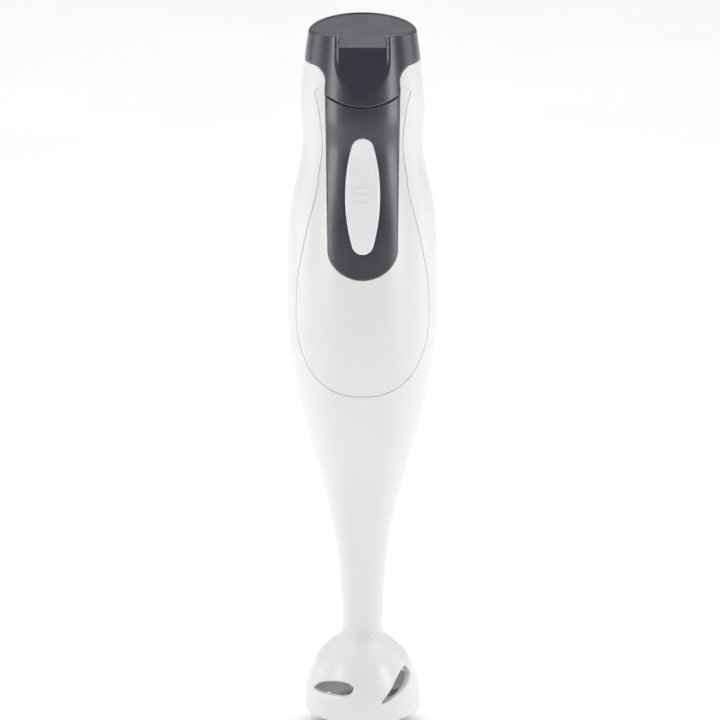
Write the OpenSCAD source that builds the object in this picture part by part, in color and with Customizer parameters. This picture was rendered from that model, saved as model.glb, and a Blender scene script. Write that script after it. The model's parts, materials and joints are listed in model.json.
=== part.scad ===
// Immersion blender with a one-piece leg, a shield-shaped front cover and a slotted blade guard.
// Millimetres. The origin is the middle of the feet's plane, +Z is up and the button faces -Y.

/* [Overall] */
// Height of the leg, from the feet to the widest ring of the handle
leg_h = 214; // [178:1:257]
// Height of the handle, from its widest ring to the rim of the cap
handle_h = 127; // [106:1:153]

/* [Housing] */
// Radius of the handle at its widest ring, around the motor
wide_r = 35.1; // [32:0.1:42.2]
// Radius of the waist that the fingers hold
grip_r = 27.9; // [25.8:0.1:33.5]
// Radius of the swelling above the waist
shoulder_r = 28.8; // [26:0.1:34.6]
// Radius of the rim of the cap
rim_r = 24.8; // [22.6:0.1:29.8]
// Radius of the stem where it meets the blade guard
neck_r = 9.3; // [9:0.1:11.2]
// Wall of the main housing and of the cap
wall = 2.4; // [2:0.1:2.9]
// Wall of the front cover, which the panel is let into
cover_wall = 3.6; // [3.1:0.1:4.3]
// Joint line between neighbouring covers
seam = 0.25; // [0.15:0.05:0.35]

/* [Front panel] */
// Width of the panel where it meets the cap's tongue
panel_w = 34.5; // [29:0.5:36]
// Thickness of the panel
panel_t = 1.6; // [1.3:0.1:1.9]
// Height of the panel's lower end above the widest ring
panel_low = 14.4; // [12:0.2:17.2]

/* [Button] */
// Height of the button's face
button_h = 53.7; // [45:0.5:57]
// Width of the button's face
button_w = 16.2; // [13.5:0.1:19.5]
// Height of the button's middle above the widest ring
button_up = 53.4; // [48:0.2:57]
// How far the face stands proud of the panel
button_proud = 0.6; // [0.4:0.1:1]
// Travel of the button
button_travel = 2; // [1.6:0.1:2.4]
// Clearance round the button's face
button_gap = 0.35; // [0.3:0.05:0.5]

/* [Blade guard] */
// Outer radius of the guard
bell_r = 27.5; // [25.5:0.1:33]
// Height of the guard, from its feet to the neck
bell_h = 46.5; // [44:0.5:56]
// Wall of the guard
bell_wall = 2.4; // [2:0.1:2.9]
// Height of the two side arches between the feet
arch_h = 9.5; // [8:0.5:11]
// Half of the angle that each foot covers
foot_angle = 37; // [31:1:44]

/* [Drive] */
// Diameter of the drive shaft
shaft_d = 5; // [4.2:0.1:6]
// Radius that the blade's tips sweep
blade_r = 20.5; // [17:0.1:22]
// Thickness of the blade's steel
blade_t = 1.2; // [1:0.1:1.5]
// Running clearance between a shaft and its bush, on the radius
running = 0.04; // [0.02:0.01:0.08]

/* [Motor] */
// Outer radius of the motor can
motor_r = 19; // [15.9:0.1:21.5]
// Height of the motor can
motor_h = 52; // [44:1:54]
// Diameter of the motor's shaft
motor_shaft_d = 4; // [3.4:0.1:4.8]

/* [Cord inlet] */
// Radius of the cord's hole in the grommet
inlet_r = 3.6; // [3:0.1:4.3]

/* [Hidden] */
$fn = 48;
tight = 0.05;       // gap between pieces that stand face to face
air = 0.4;          // gap between loose neighbours
fuse = 0.5;         // how far ribs and posts run into the wall that carries them

// ---- Curves ---------------------------------------------------------------------------------
// A smooth curve through [place, value] points. The slope at each point comes from its neighbours.
function slope(p, i) =
    let (a = max(i - 1, 0), b = min(i + 1, len(p) - 1)) (p[b].y - p[a].y) / (p[b].x - p[a].x);
function span(p, x, i = 0) = i >= len(p) - 2 || x < p[i + 1].x ? i : span(p, x, i + 1);
function smooth(p, x) =
    let (i = span(p, x), h = p[i + 1].x - p[i].x, t = (x - p[i].x) / h, s = t * t * (3 - 2 * t))
    p[i].y + s * (p[i + 1].y - p[i].y)
    + h * t * (1 - t) * (slope(p, i) * (1 - t) - slope(p, i + 1) * t);

// A closed curve through points, with n short sides between neighbours.
function blend(a, b, c, d, t) =
    b + t * (c - a) / 2 + t * t * (2 * a - 5 * b + 4 * c - d) / 2 + t * t * t * (3 * b - a - 3 * c + d) / 2;
function closed_curve(p, n) = let (m = len(p)) [
    for (i = [0:m - 1])
        for (k = [0:n - 1]) blend(p[(i + m - 1) % m], p[i], p[(i + 1) % m], p[(i + 2) % m], k / n)
];

// Half-widths of a U-shaped lower end: an ellipse whose sides are fuller when power is above 2.
function u_end(half_w, depth, z_top, power, n) = [
    for (i = [0:n])
        let (a = 90 * i / n, c = pow(sin(a), 2 / power), s = pow(cos(a), 2 / power))
        [half_w * c, z_top - depth * s]
];
function mirrored(p) = concat(p, [for (i = [len(p) - 1:-1:0]) if (abs(p[i].x) > 0.01) [-p[i].x, p[i].y]]);

// ---- Outline of the body --------------------------------------------------------------------
z_wide = leg_h;
total_h = leg_h + handle_h;
// The leg opens from the neck to the widest ring: share of its height, share of its widening.
leg_curve = [[0, 0], [.13, .036], [.273, .136], [.415, .317], [.556, .572], [.697, .806], [.837, .949], [1, 1]];
// The handle draws in to the waist: share of its height, share of the way in.
waist_curve = [[.2, .05], [.29, .14], [.375, .36], [.465, .73], [.57, 1]];
shoulder_at = .71;
collar_at = .885;
body_points = concat(
    [for (p = leg_curve) [bell_h + p.x * (z_wide - bell_h), neck_r + p.y * (wide_r - neck_r)]],
    [for (p = waist_curve) [z_wide + p.x * handle_h, wide_r - p.y * (wide_r - grip_r)]],
    [[z_wide + shoulder_at * handle_h, shoulder_r]],
    [[z_wide + collar_at * handle_h, (shoulder_r + rim_r) / 2], [total_h, rim_r]]
);
function body_r(z) = smooth(body_points, min(max(z, bell_h), total_h));
function housing_in(z) = body_r(z) - wall;
function cover_in(z) = body_r(z) - cover_wall;

ring_count = 40;    // straight bands that the body's outline is made of
rings = [for (i = [0:ring_count]) bell_h + i * (total_h - bell_h) / ring_count];
function heights(low, high) = concat([low], [for (z = rings) if (z > low + 1 && z < high - 1) z], [high]);

// A layer of the body between two depths below its surface. Depths below 0 stand proud of it.
module layer(depth, deeper, low, high) {
    zs = heights(low, high);
    n = len(zs) - 1;
    rotate_extrude()
        polygon(concat(
            [for (z = zs) [body_r(z) - depth, z]],
            [for (i = [n:-1:0]) [body_r(zs[i]) - deeper, zs[i]]]
        ));
}
// The whole of the body below a depth under its surface.
module solid_layer(depth, low, high) {
    rotate_extrude()
        polygon(concat([[0, low]], [for (z = heights(low, high)) [body_r(z) - depth, z]], [[0, high]]));
}
module tube(r, bore, low, high) {
    translate([0, 0, low])
        difference() {
            cylinder(r = r, h = high - low);
            translate([0, 0, -1]) cylinder(r = bore, h = high - low + 2);
        }
}
module rod(r, low, high) {
    translate([0, 0, low]) cylinder(r = r, h = high - low);
}
// A cylinder along +Y that is centred on x and z.
module rod_y(r, x, z, front, back) {
    translate([x, front, z]) rotate([-90, 0, 0]) cylinder(r = r, h = back - front);
}
// A block from its lowest to its highest corner.
module block(low, high) {
    translate(low) cube(high - low);
}
// An outline in x and z, cut through the front half of the body.
module front_prism(front = 60, back = 8) {
    translate([0, -back, 0]) rotate([90, 0, 0]) linear_extrude(front - back) children();
}

// ---- Outlines on the front, in x and z ------------------------------------------------------
cap_low = total_h - 14.8;       // where the cap meets the housing at the sides and back
tongue_low = total_h - .256 * handle_h; // middle of the joint between the cap's tongue and the panel
tongue_sag = 4.6;               // how far that joint hangs below its ends
tongue_fillet = 6.5;            // fillet between the tongue and the cap
panel_taper = .016;             // how much the panel narrows on each side, per millimetre down
panel_u = 13.6;                 // depth of the panel's U-shaped lower end
z_u = z_wide + panel_low + panel_u;
function panel_half(z) = panel_w / 2 - panel_taper * (tongue_low - z);
function joint_z(x) = tongue_low + tongue_sag * pow(x / (panel_w / 2), 2);

module panel_outline(gap) {
    low = u_end(panel_half(z_u) - gap, panel_u - gap, z_u, 2, 10);
    top = [for (i = [6:-1:0]) let (x = (panel_w / 2 - gap) * i / 6) [x, joint_z(x) - gap]];
    polygon(mirrored(concat(low, top)));
}
module tongue_outline(gap) {
    w = panel_w / 2 - gap;
    f = tongue_fillet;
    low = [for (i = [0:6]) [w * i / 6, joint_z(w * i / 6) + gap]];
    fillet = [for (a = [180:-14:110]) [w + f + f * cos(a), cap_low + gap - f + f * sin(a)]];
    polygon(mirrored(concat(low, fillet, [[w + f + f * cos(110), total_h + 10], [0, total_h + 10]])));
}

// The shield: share of the handle's height, share of the body's radius there.
shield_curve = [[-.026, .889], [.09, .864], [.2, .804], [.298, .746], [.402, .69], [.5, .69],
    [.584, .67], [.669, .674], [.741, .7235], [.788, .795]];
shield_strip = 1.4;             // narrowest white strip between the shield's edge and the panel
shield_u = .308 * handle_h;     // depth of the shield's U-shaped lower end
shield_top = .788;
shoulder_rise = 3.4;            // how far the shield's top edge rises towards the panel
function shield_z(share) = z_wide + share * handle_h;
function shield_half(share) =
    let (z = shield_z(share)) max(smooth(shield_curve, share) * body_r(z), panel_half(z) + shield_strip);
module shield_outline(gap) {
    first = shield_curve[0].x;
    sides = 16;
    low = u_end(shield_half(first) - gap, shield_u - gap, shield_z(first), 2.5, 12);
    side = [for (i = [1:sides]) let (s = first + (shield_top - first) * i / sides)
        [shield_half(s) - gap, shield_z(s) - (i == sides ? gap : 0)]];
    z_top = shield_z(shield_top) + shoulder_rise - gap;
    top = [[panel_w / 2 + 1, z_top], [0, z_top]];
    polygon(mirrored(concat(low, side, top)));
}

// The button's face: two long side arcs that run into small round ends.
z_button = z_wide + button_up;
button_end_r = 5.1;
module button_outline(more) {
    hw = button_w / 2;
    zc = button_h / 2 - button_end_r;
    big = (hw * hw + zc * zc - button_end_r * button_end_r) / (2 * (hw - button_end_r));
    turn = asin(zc / (big - button_end_r));
    end = button_end_r + more;
    side = [for (i = [0:6]) let (a = turn * i / 6) [(big + more) * cos(a) - big + hw, (big + more) * sin(a)]];
    round_end = [for (i = [1:5]) let (a = turn + (90 - turn) * i / 5) [end * cos(a), zc + end * sin(a)]];
    quarter = concat(side, round_end);
    half = concat([for (i = [len(quarter) - 1:-1:1]) [quarter[i].x, -quarter[i].y]], quarter);
    translate([0, z_button]) polygon(mirrored(half));
}

// ---- Heights of the drive, from the feet up -------------------------------------------------
shaft_r = shaft_d / 2;
z_blade = 14.2;
z_nut = z_blade - 3.6;
boss_low = bell_h - 17;             // lower end of the boss inside the guard
boss_r = 8.2;
seal_r = 5.8;
seal_h = 5;
retainer_h = 1.6;
bush_r = shaft_r + 1.9;
bush_wall = 2.2;
spigot_h = 9.5;                     // how far the guard's spigot reaches into the stem
lower_bush_low = boss_low + retainer_h + seal_h + .6;
lower_bush_high = bell_h + spigot_h - 1;

z_mount = z_wide - .3 * leg_h;      // top of the ledge that carries the motor
mount_t = 2.4;
z_motor = z_mount + tight + mount_t + tight;
fan_h = 8;
z_fan = z_mount - 16;
z_couple = z_fan - 18;              // lower end of the coupling
couple_h = 16;
z_join = z_couple + couple_h / 2;   // where the two shafts meet in the coupling
upper_bush_high = z_couple - 2.5;
upper_bush_low = upper_bush_high - 12;
motor_top = z_motor + motor_h;
motor_shaft_r = motor_shaft_d / 2;
bearing_r = 5;
end_cap_t = 4;

// ---- Covers ---------------------------------------------------------------------------------
vent_w = 20;
vent_h = 1.8;
vent_step = 4.4;
vent_rows = 6;
post_r = 3.4;
pilot_r = 1.1;
cover_screw_x = 11.6;
cover_screws_at = [
    [-cover_screw_x, tongue_low - 7], [cover_screw_x, tongue_low - 7], [0, z_wide + panel_low + 4.2]
];
board_front = 3;
board_t = 1.6;
board_half = 7.6;
board_low = z_button - 29;
board_high = z_button + 31;
board_screws_at = [[0, board_low + 3.2], [0, board_high - 3.2]];
boss_depth = 3.6;       // how far the cover's screw bosses stand in from its wall
boss_floor = 1.2;       // what is left under the screw's head

function boss_back(z) = -sqrt(pow(cover_in(z), 2) - pow(cover_screw_x, 2)) + boss_depth;

module post(x, z, front) {
    wall_y = sqrt(pow(housing_in(z), 2) - x * x) + fuse;
    rod_y(post_r, x, z, front, wall_y);
}
module pilot(x, z, front) {
    rod_y(pilot_r, x, z, front - 1, front + 9);
}
module main_housing() {
    color("whitesmoke")
        difference() {
            union() {
                difference() {
                    layer(0, wall, bell_h + tight, cap_low - seam);
                    front_prism() shield_outline(0);
                    front_prism() tongue_outline(0);
                    for (i = [0:vent_rows - 1]) vent(z_wide + 2 + (i - (vent_rows - 1) / 2) * vent_step);
                }
                bush_web();
                motor_ledge();
                for (s = cover_screws_at) post(s.x, s.y, boss_back(s.y) + tight);
                for (s = board_screws_at) post(s.x, s.y, board_front + board_t + tight);
            }
            for (s = cover_screws_at) pilot(s.x, s.y, boss_back(s.y));
            for (s = board_screws_at) pilot(s.x, s.y, board_front + board_t);
            rod(bush_r, upper_bush_low, upper_bush_high + 5);
            rod(bush_r - 1, upper_bush_low - 5, upper_bush_low + 1);
        }
}
module vent(z) {
    translate([-vent_w / 2 + vent_h / 2, 10, z - vent_h / 2]) cube([vent_w - vent_h, wide_r, vent_h]);
    for (side = [-1, 1]) rod_y(vent_h / 2, side * (vent_w - vent_h) / 2, z, 10, 10 + wide_r);
}
module bush_web() {
    z = (upper_bush_low + upper_bush_high) / 2;
    tube(bush_r + bush_wall, bush_r - 1, upper_bush_low - 1.5, upper_bush_high);
    tube(housing_in(z) + fuse, bush_r, z - wall / 2, z + wall / 2);
}
module motor_ledge() {
    depth = 3;
    r = housing_in(z_mount);
    rotate_extrude()
        polygon([
            [r - depth, z_mount], [r - depth, z_mount - 1.5],
            [housing_in(z_mount - 5) + fuse, z_mount - 5], [r + fuse, z_mount]
        ]);
}

module front_cover() {
    top = shield_z(shield_top) + shoulder_rise + 5;
    color("whitesmoke")
        difference() {
            union() {
                intersection() {
                    layer(0, cover_wall, shield_z(shield_curve[0].x) - shield_u - 4, top);
                    front_prism() shield_outline(seam);
                }
                for (s = cover_screws_at)
                    rod_y(post_r, s.x, s.y, -sqrt(pow(cover_in(s.y), 2) - s.x * s.x) - 1, boss_back(s.y));
            }
            intersection() {
                layer(-2, panel_t + tight, z_wide, cap_low);
                front_prism() panel_outline(0);
            }
            front_prism() tongue_outline(-seam);
            front_prism(back = 15) button_outline(button_gap);
            for (s = cover_screws_at) screw_hole(s);
        }
}
module screw_hole(s) {
    rod_y(1.7, s.x, s.y, -60, boss_back(s.y) + 1);
    rod_y(3.1, s.x, s.y, -60, boss_back(s.y) - boss_floor);
}
module cover_screws() {
    color("silver")
        for (s = cover_screws_at) {
            seat = boss_back(s.y) - boss_floor - tight;
            rod_y(2.8, s.x, s.y, seat - 1.6, seat);
            rod_y(pilot_r - tight, s.x, s.y, seat, seat + 9);
        }
}

module control_panel() {
    color("dimgray")
        difference() {
            intersection() {
                layer(0, panel_t, z_wide, cap_low);
                front_prism() panel_outline(seam);
            }
            front_prism() button_outline(button_gap);
        }
}

rim_w = 1.9;
notch_half = 10.4;
ledge_drop = 5.75;              // how far the cap's top lies below the rim at the front
dish_tilt = 8.2;                // rise of the cap's top towards the rear
rim_tilt = -4.6;                // fall of the front rim towards the sides
rim_side_z = total_h - 1.8;     // height of that rim above the body's axis
cap_skin = 2.6;
recess_low = total_h - 27.5;
// Floor of the recess: height above its lower end, depth below the front of the body.
recess_floor = [[0, 0], [2.5, 1], [5.5, 2.2], [8.5, 3.1], [12.5, 3.7], [30, 4.1]];
inlet_z = total_h - 8.6;
inlet_hole_r = inlet_r + 1.6;            // hole in the cap that the grommet fills
inlet_boss_r = inlet_hole_r + .8;
inlet_face = body_r(cap_low) + .4;       // flat that the grommet's flange lies on

// Everything above a plane across the cap that leans by a tilt.
module above(tilt, y, z) {
    translate([0, y, z]) rotate([tilt, 0, 0]) translate([-50, -100, 0]) cube([100, 200, 60]);
}
module above_dish(drop) {
    above(dish_tilt, -rim_r, total_h - ledge_drop - drop);
}
module top_cap() {
    color("dimgray")
        difference() {
            union() {
                difference() {
                    solid_layer(0, cap_low, total_h + 3);
                    difference() {
                        solid_layer(wall, cap_low - 1, total_h + 3);
                        above_dish(cap_skin);
                    }
                }
                intersection() {
                    layer(0, wall, tongue_low - 1, cap_low + .5);
                    front_prism() tongue_outline(seam);
                }
                intersection() {
                    layer(wall - fuse, wall + recess_floor[5].y, recess_low - 1, total_h - ledge_drop - 1);
                    front_prism(back = 10)
                        translate([-notch_half - 4, 0]) square([2 * notch_half + 8, total_h - ledge_drop]);
                }
                rod_y(inlet_boss_r, 0, inlet_z, rim_r - wall - 2, inlet_face);
            }
            intersection() {
                rod(rim_r - rim_w, total_h - 20, total_h + 10);
                above_dish(0);
            }
            intersection() {
                above(rim_tilt, 0, rim_side_z);
                above_dish(0);
            }
            intersection() {
                block([-notch_half, -60, total_h - 20], [notch_half, -rim_r / 2, total_h + 10]);
                above_dish(0);
            }
            thumb_recess();
            rod_y(inlet_hole_r, 0, inlet_z, rim_r / 2, rim_r + 20);
        }
}
// A hollow in the front of the cap with a flat floor, gone at its lower end.
module thumb_recess() {
    outline = [
        [notch_half, total_h], [notch_half + 1.2, total_h - 8], [notch_half + 1.2, recess_low + 10],
        [notch_half, recess_low + 5.5], [notch_half - 2.4, recess_low + 1.8], [0, recess_low]
    ];
    side = [for (p = recess_floor) [-body_r(recess_low + p.x) + p.y, recess_low + p.x]];
    intersection() {
        front_prism(back = 12) polygon(mirrored([for (i = [len(outline) - 1:-1:0]) outline[i]]));
        rotate([90, 0, 90]) translate([0, 0, -20]) linear_extrude(40)
            polygon(concat(side, [[-60, recess_low + 30], [-60, recess_low]]));
    }
}
module inlet_grommet() {
    color("black")
        difference() {
            union() {
                rod_y(inlet_hole_r - tight, 0, inlet_z, rim_r - wall - 3, inlet_face + .5);
                rod_y(inlet_boss_r - .1, 0, inlet_z, inlet_face + tight, inlet_face + 1.2);
            }
            rod_y(inlet_r, 0, inlet_z, 0, rim_r + 20);
        }
}

// ---- Button and switch ----------------------------------------------------------------------
button_back = 20;       // distance of the button's rear edge from the body's axis
button_shell = 2;
stem_r = 2.6;
collar_r = 5.2;                             // flat seat of the return spring inside the button
collar_back = -cover_in(z_button) + 1.9;
flange_t = 1.6;                             // flange that keeps the button behind the cover
flange_more = 1.5;
switch_front = -9;
switch_half = 5.4;
plunger_r = 1.6;
plunger_head_r = 2.2;
plunger_head_t = 1.2;
plunger_front = switch_front + 1 - button_travel - .2 - plunger_head_t;
spring_r = 4.2;
spring_wire = .4;

module button_solid(depth, more, front, back) {
    intersection() {
        solid_layer(depth, z_wide, cap_low);
        front_prism(front, back) button_outline(more);
    }
}
module power_button() {
    color("gainsboro")
        union() {
            difference() {
                union() {
                    button_solid(-button_proud, 0, 60, button_back);
                    front_prism(button_back, button_back - flange_t) button_outline(flange_more);
                }
                button_solid(button_shell, -button_shell, 60, button_back - flange_t - 1);
            }
            intersection() {
                button_solid(0, 0, 60, button_back);
                rod_y(collar_r, 0, z_button, -60, collar_back);
            }
            rod_y(stem_r, 0, z_button, collar_back - 1, plunger_front - tight);
            for (i = [-1:1]) grip_bar(z_button + i * 3.4);
        }
}
// A short raised bar across the button's face.
module grip_bar(z) {
    half = 3.6;
    translate([-half, -body_r(z) - button_proud, z]) rotate([0, 90, 0]) cylinder(r = .55, h = 2 * half);
}
module switch_plunger() {
    color("firebrick")
        union() {
            rod_y(plunger_head_r, 0, z_button, plunger_front, plunger_front + plunger_head_t);
            rod_y(plunger_r, 0, z_button, plunger_front + 1, switch_front + 3);
        }
}
module switch_body() {
    color("darkslategray")
        difference() {
            union() {
                block([-switch_half, switch_front + 1.6, z_button - 9],
                      [switch_half, board_front - tight, z_button + 9]);
                rod_y(spring_r - spring_wire - air, 0, z_button, switch_front + 1, switch_front + 2);
            }
            rod_y(plunger_r + running, 0, z_button, switch_front, switch_front + 7);
        }
}
// A round wire along a path of points; side is a direction that the path never follows.
module wire(path, r, side, sides = 8) {
    n = len(path);
    ring = [for (i = [0:n - 1])
        let (
            d = path[min(i + 1, n - 1)] - path[max(i - 1, 0)],
            u = cross(d, side) / norm(cross(d, side)),
            v = cross(u, d) / norm(d)
        )
        for (k = [0:sides - 1]) path[i] + r * (u * cos(360 * k / sides) + v * sin(360 * k / sides))];
    around = [for (i = [0:n - 2]) for (k = [0:sides - 1])
        [i * sides + k, i * sides + (k + 1) % sides, (i + 1) * sides + (k + 1) % sides, (i + 1) * sides + k]];
    polyhedron(ring, concat(around, [[for (k = [sides - 1:-1:0]) k]],
                            [[for (k = [0:sides - 1]) (n - 1) * sides + k]]));
}
// A helical spring along +Z from the origin.
module coil(r, wire_r, turns, length, steps = 14) {
    n = turns * steps;
    wire([for (i = [0:n]) [r * cos(360 * i / steps), r * sin(360 * i / steps), length * i / n]],
         wire_r, [0, 0, 1], 6);
}
module button_return_spring() {
    front = collar_back + tight;
    back = switch_front + 1.6 - tight;
    color("silver")
        translate([0, front + spring_wire, z_button]) rotate([-90, 0, 0])
            coil(spring_r, spring_wire, 7, back - front - 2 * spring_wire);
}

// ---- Electronics ----------------------------------------------------------------------------
board_back = board_front + board_t;
module circuit_board() {
    color("darkgreen")
        difference() {
            block([-board_half, board_front, board_low], [board_half, board_back, board_high]);
            for (s = board_screws_at) rod_y(1.5, s.x, s.y, 0, 10);
        }
}
module board_screws() {
    color("silver")
        for (s = board_screws_at) {
            rod_y(2.5, s.x, s.y, board_front - tight - 1.4, board_front - tight);
            rod_y(pilot_r - tight, s.x, s.y, board_front - tight, board_back + 6);
        }
}
diode_r = 1.35;
module rectifier_diodes() {
    color("black")
        for (i = [0:3])
            translate([i % 2 == 0 ? -3.4 : 3.4, board_front - diode_r - tight,
                       board_low + 8.5 + floor(i / 2) * 6])
                cylinder(r = diode_r, h = 4.6, center = true);
}
module suppression_capacitor() {
    color("gold")
        block([-6.5, board_back + tight, z_button + 7], [6.5, board_back + 8.5, z_button + 22]);
}
module interference_chokes() {
    color("chocolate")
        for (side = [-1, 1])
            rod_y(3.2, side * 3.8, z_button - 12, board_back + tight, board_back + 10);
}
module mains_terminal() {
    z = z_button + 14;
    color("ivory")
        difference() {
            block([-7, board_front - 8, z], [7, board_front - tight, z + 9]);
            for (side = [-1, 1]) {
                translate([side * 3.4, board_front - 4, z - 1]) cylinder(r = 1.2, h = 12);
                rod_y(1.5, side * 3.4, z + 4.5, board_front - 9, board_front - 5);
            }
        }
}
lead_r = .8;
function eased(a, b, n) = [for (i = [0:n]) let (t = i / n, s = t * t * (3 - 2 * t)) [
    a.x + (b.x - a.x) * s, a.y + (b.y - a.y) * s, a.z + (b.z - a.z) * t]];
module motor_leads() {
    color("crimson")
        for (side = [-1, 1])
            wire(
                eased([side * 10, 4, motor_top + end_cap_t + .2],
                      [side * 4.6, board_front - 1.2, board_low + 3.5], 10),
                lead_r, [1, 0, 0]
            );
}
module switch_leads() {
    color("royalblue")
        for (side = [-1, 1])
            wire(
                eased([side * 3, board_front - 3, z_button + 9.3],
                      [side * 3.4, board_front - 4, z_button + 13.8], 5),
                lead_r, [1, 0, 0]
            );
}

// ---- Motor ----------------------------------------------------------------------------------
can_wall = 1.4;
can_base = 1.6;
boss_drop = 4.5;
magnet_t = 4;
magnet_low = z_motor + 7;
magnet_high = z_motor + motor_h - 15;
core_r = motor_r - can_wall - magnet_t - .9;
commutator_r = 5;
commutator_low = magnet_high + 4;
commutator_high = commutator_low + 8;
mount_screw_r = 11.5;

module motor_can() {
    color("silver")
        difference() {
            union() {
                tube(motor_r, motor_r - can_wall, z_motor, motor_top);
                rod(motor_r, z_motor, z_motor + can_base);
                rod(bearing_r + 1.3, z_motor - boss_drop, z_motor + 1);
            }
            rod(bearing_r, z_motor - boss_drop + 1, z_motor + 5);
            rod(motor_shaft_r + .8, z_motor - boss_drop - 5, z_motor + 5);
            for (side = [-1, 1]) translate([0, side * mount_screw_r, z_motor - 5]) cylinder(r = 1.2, h = 10);
        }
}
module bearing(low, high) {
    color("peru") tube(bearing_r - tight, motor_shaft_r + running, low, high);
}
module lower_motor_bearing() bearing(z_motor - boss_drop + 1 + tight, z_motor + can_base);
module upper_motor_bearing() bearing(motor_top - 1, motor_top + end_cap_t);
module motor_magnets() {
    half = 62;
    r = motor_r - can_wall - tight;
    wedge = [for (a = [-half:half / 8:half]) 30 * [cos(a), sin(a)]];
    color("dimgray")
        for (turn = [90, 270])
            intersection() {
                tube(r, r - magnet_t, magnet_low, magnet_high);
                rotate([0, 0, turn]) translate([0, 0, magnet_low - 1])
                    linear_extrude(magnet_high - magnet_low + 2) polygon(concat([[0, 0]], wedge));
            }
}
module motor_end_cap() {
    color("saddlebrown")
        difference() {
            union() {
                rod(motor_r, motor_top + tight, motor_top + end_cap_t);
                rod(motor_r - can_wall - tight, motor_top - 2, motor_top + 1);
            }
            rod(bearing_r, motor_top - 5, motor_top + 10);
        }
}
holder_half = 3.6;
brush_half = 2.4;
holder_out = motor_r - can_wall - .8;
brush_z = (commutator_low + commutator_high) / 2;
brush_in = commutator_r + tight;
brush_out = brush_in + 5.4;
module both_sides() {
    for (turn = [0, 180]) rotate([0, 0, turn]) children();
}
module brush_holders() {
    color("goldenrod")
        both_sides()
            difference() {
                block([commutator_r + 1, -holder_half, brush_z - holder_half],
                      [holder_out, holder_half, motor_top - 2 - tight]);
                block([commutator_r, -brush_half - tight, brush_z - brush_half - tight],
                    [holder_out - 1, brush_half + tight, brush_z + brush_half + tight]);
            }
}
module carbon_brushes() {
    color("black")
        both_sides()
            block([brush_in, -brush_half, brush_z - brush_half],
                  [brush_out, brush_half, brush_z + brush_half]);
}
module brush_springs() {
    color("silver")
        both_sides()
            translate([brush_out + .35, 0, brush_z]) rotate([0, 90, 0])
                coil(1.7, .25, 4, holder_out - 1 - brush_out - .7, 12);
}
module motor_mount() {
    r = housing_in(z_mount + 5) - .6;
    color("gainsboro")
        difference() {
            union() {
                rod(housing_in(z_mount) - air, z_mount + tight, z_mount + tight + mount_t);
                tube(motor_r + 2.2, motor_r + tight, z_mount + 1, z_mount + 12);
            }
            rod(bearing_r + 1.3 + air, z_mount - 5, z_mount + 10);
            for (turn = [0:60:300])
                rotate([0, 0, turn + 30]) translate([r - 9.5, 0, z_mount - 5]) cylinder(r = 2.4, h = 10);
            for (side = [-1, 1]) translate([0, side * mount_screw_r, z_mount - 5]) cylinder(r = 1.6, h = 10);
        }
}
module motor_screws() {
    color("silver")
        for (side = [-1, 1])
            translate([0, side * mount_screw_r, 0]) {
                rod(2.7, z_mount - 1.5, z_mount);
                rod(1.15, z_mount - .1, z_motor + can_base + 1.5);
            }
}
cradle_z = motor_top - 12;
module motor_damper() {
    color("black") tube(motor_r + 2.2, motor_r + tight, cradle_z, cradle_z + 8);
}
module motor_cradle() {
    r = motor_r + 2.2 + tight;
    reach = cover_in(cradle_z) - .8;
    color("gainsboro")
        difference() {
            union() {
                tube(r + 2, r, cradle_z, cradle_z + 8);
                for (turn = [45:90:315])
                    rotate([0, 0, turn]) block([r + 1, -3, cradle_z + 1], [reach, 3, cradle_z + 7]);
            }
            rod(r, cradle_z - 1, cradle_z + 9);
        }
}

// ---- Rotor ----------------------------------------------------------------------------------
module motor_shaft() {
    color("silver") rod(motor_shaft_r, z_join + .3, motor_top + end_cap_t + 1.5);
}
module armature_core() {
    slots = 8;
    color("slategray")
        difference() {
            tube(core_r, motor_shaft_r, magnet_low + 1, magnet_high - 1);
            for (i = [0:slots - 1])
                rotate([0, 0, 360 * i / slots]) {
                    translate([core_r - 3.2, 0, magnet_low]) cylinder(r = 2, h = magnet_high - magnet_low);
                    block([core_r - 3, -.7, magnet_low], [core_r + 1, .7, magnet_high]);
                }
        }
}
module armature_windings() {
    slots = 8;
    color("orangered")
        union() {
            for (z = [magnet_low - 3.5, magnet_high - .95]) tube(core_r - 1.6, motor_shaft_r + .6, z, z + 4.45);
            for (i = [0:slots - 1])
                rotate([0, 0, 360 * i / slots]) translate([core_r - 3.2, 0, magnet_low + .5])
                    cylinder(r = 1.9, h = magnet_high - magnet_low - 1);
        }
}
module commutator() {
    bars = 8;
    color("peru")
        difference() {
            tube(commutator_r, motor_shaft_r, commutator_low, commutator_high);
            for (i = [0:bars - 1])
                rotate([0, 0, 360 * i / bars + 22.5])
                    block([commutator_r - .6, -.2, commutator_low + 1],
                          [commutator_r + 1, .2, commutator_high + 1]);
        }
}
module cooling_fan() {
    blades = 9;
    fan_r = min(motor_r - 2, housing_in(z_fan) - 2.5);
    color("white")
        union() {
            tube(fan_r, motor_shaft_r, z_fan, z_fan + 1.4);
            tube(motor_shaft_r + 2.4, motor_shaft_r, z_fan, z_fan + fan_h);
            for (i = [0:blades - 1])
                rotate([0, 0, 360 * i / blades])
                    translate([motor_shaft_r + 2, -.5, z_fan + 1])
                        rotate([0, 0, 12]) cube([fan_r - motor_shaft_r - 4, 1, fan_h - 1.5]);
        }
}
module shaft_coupling() {
    color("white")
        difference() {
            union() {
                tube(7, motor_shaft_r, z_join, z_couple + couple_h);
                tube(7, shaft_r, z_couple, z_join + .2);
            }
            for (turn = [0:60:300])
                rotate([0, 0, turn]) translate([8, 0, z_couple + 3]) cylinder(r = 1.8, h = couple_h - 6);
        }
}
module drive_shaft() {
    color("silver") rod(shaft_r, z_nut + .4, z_join);
}
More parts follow.
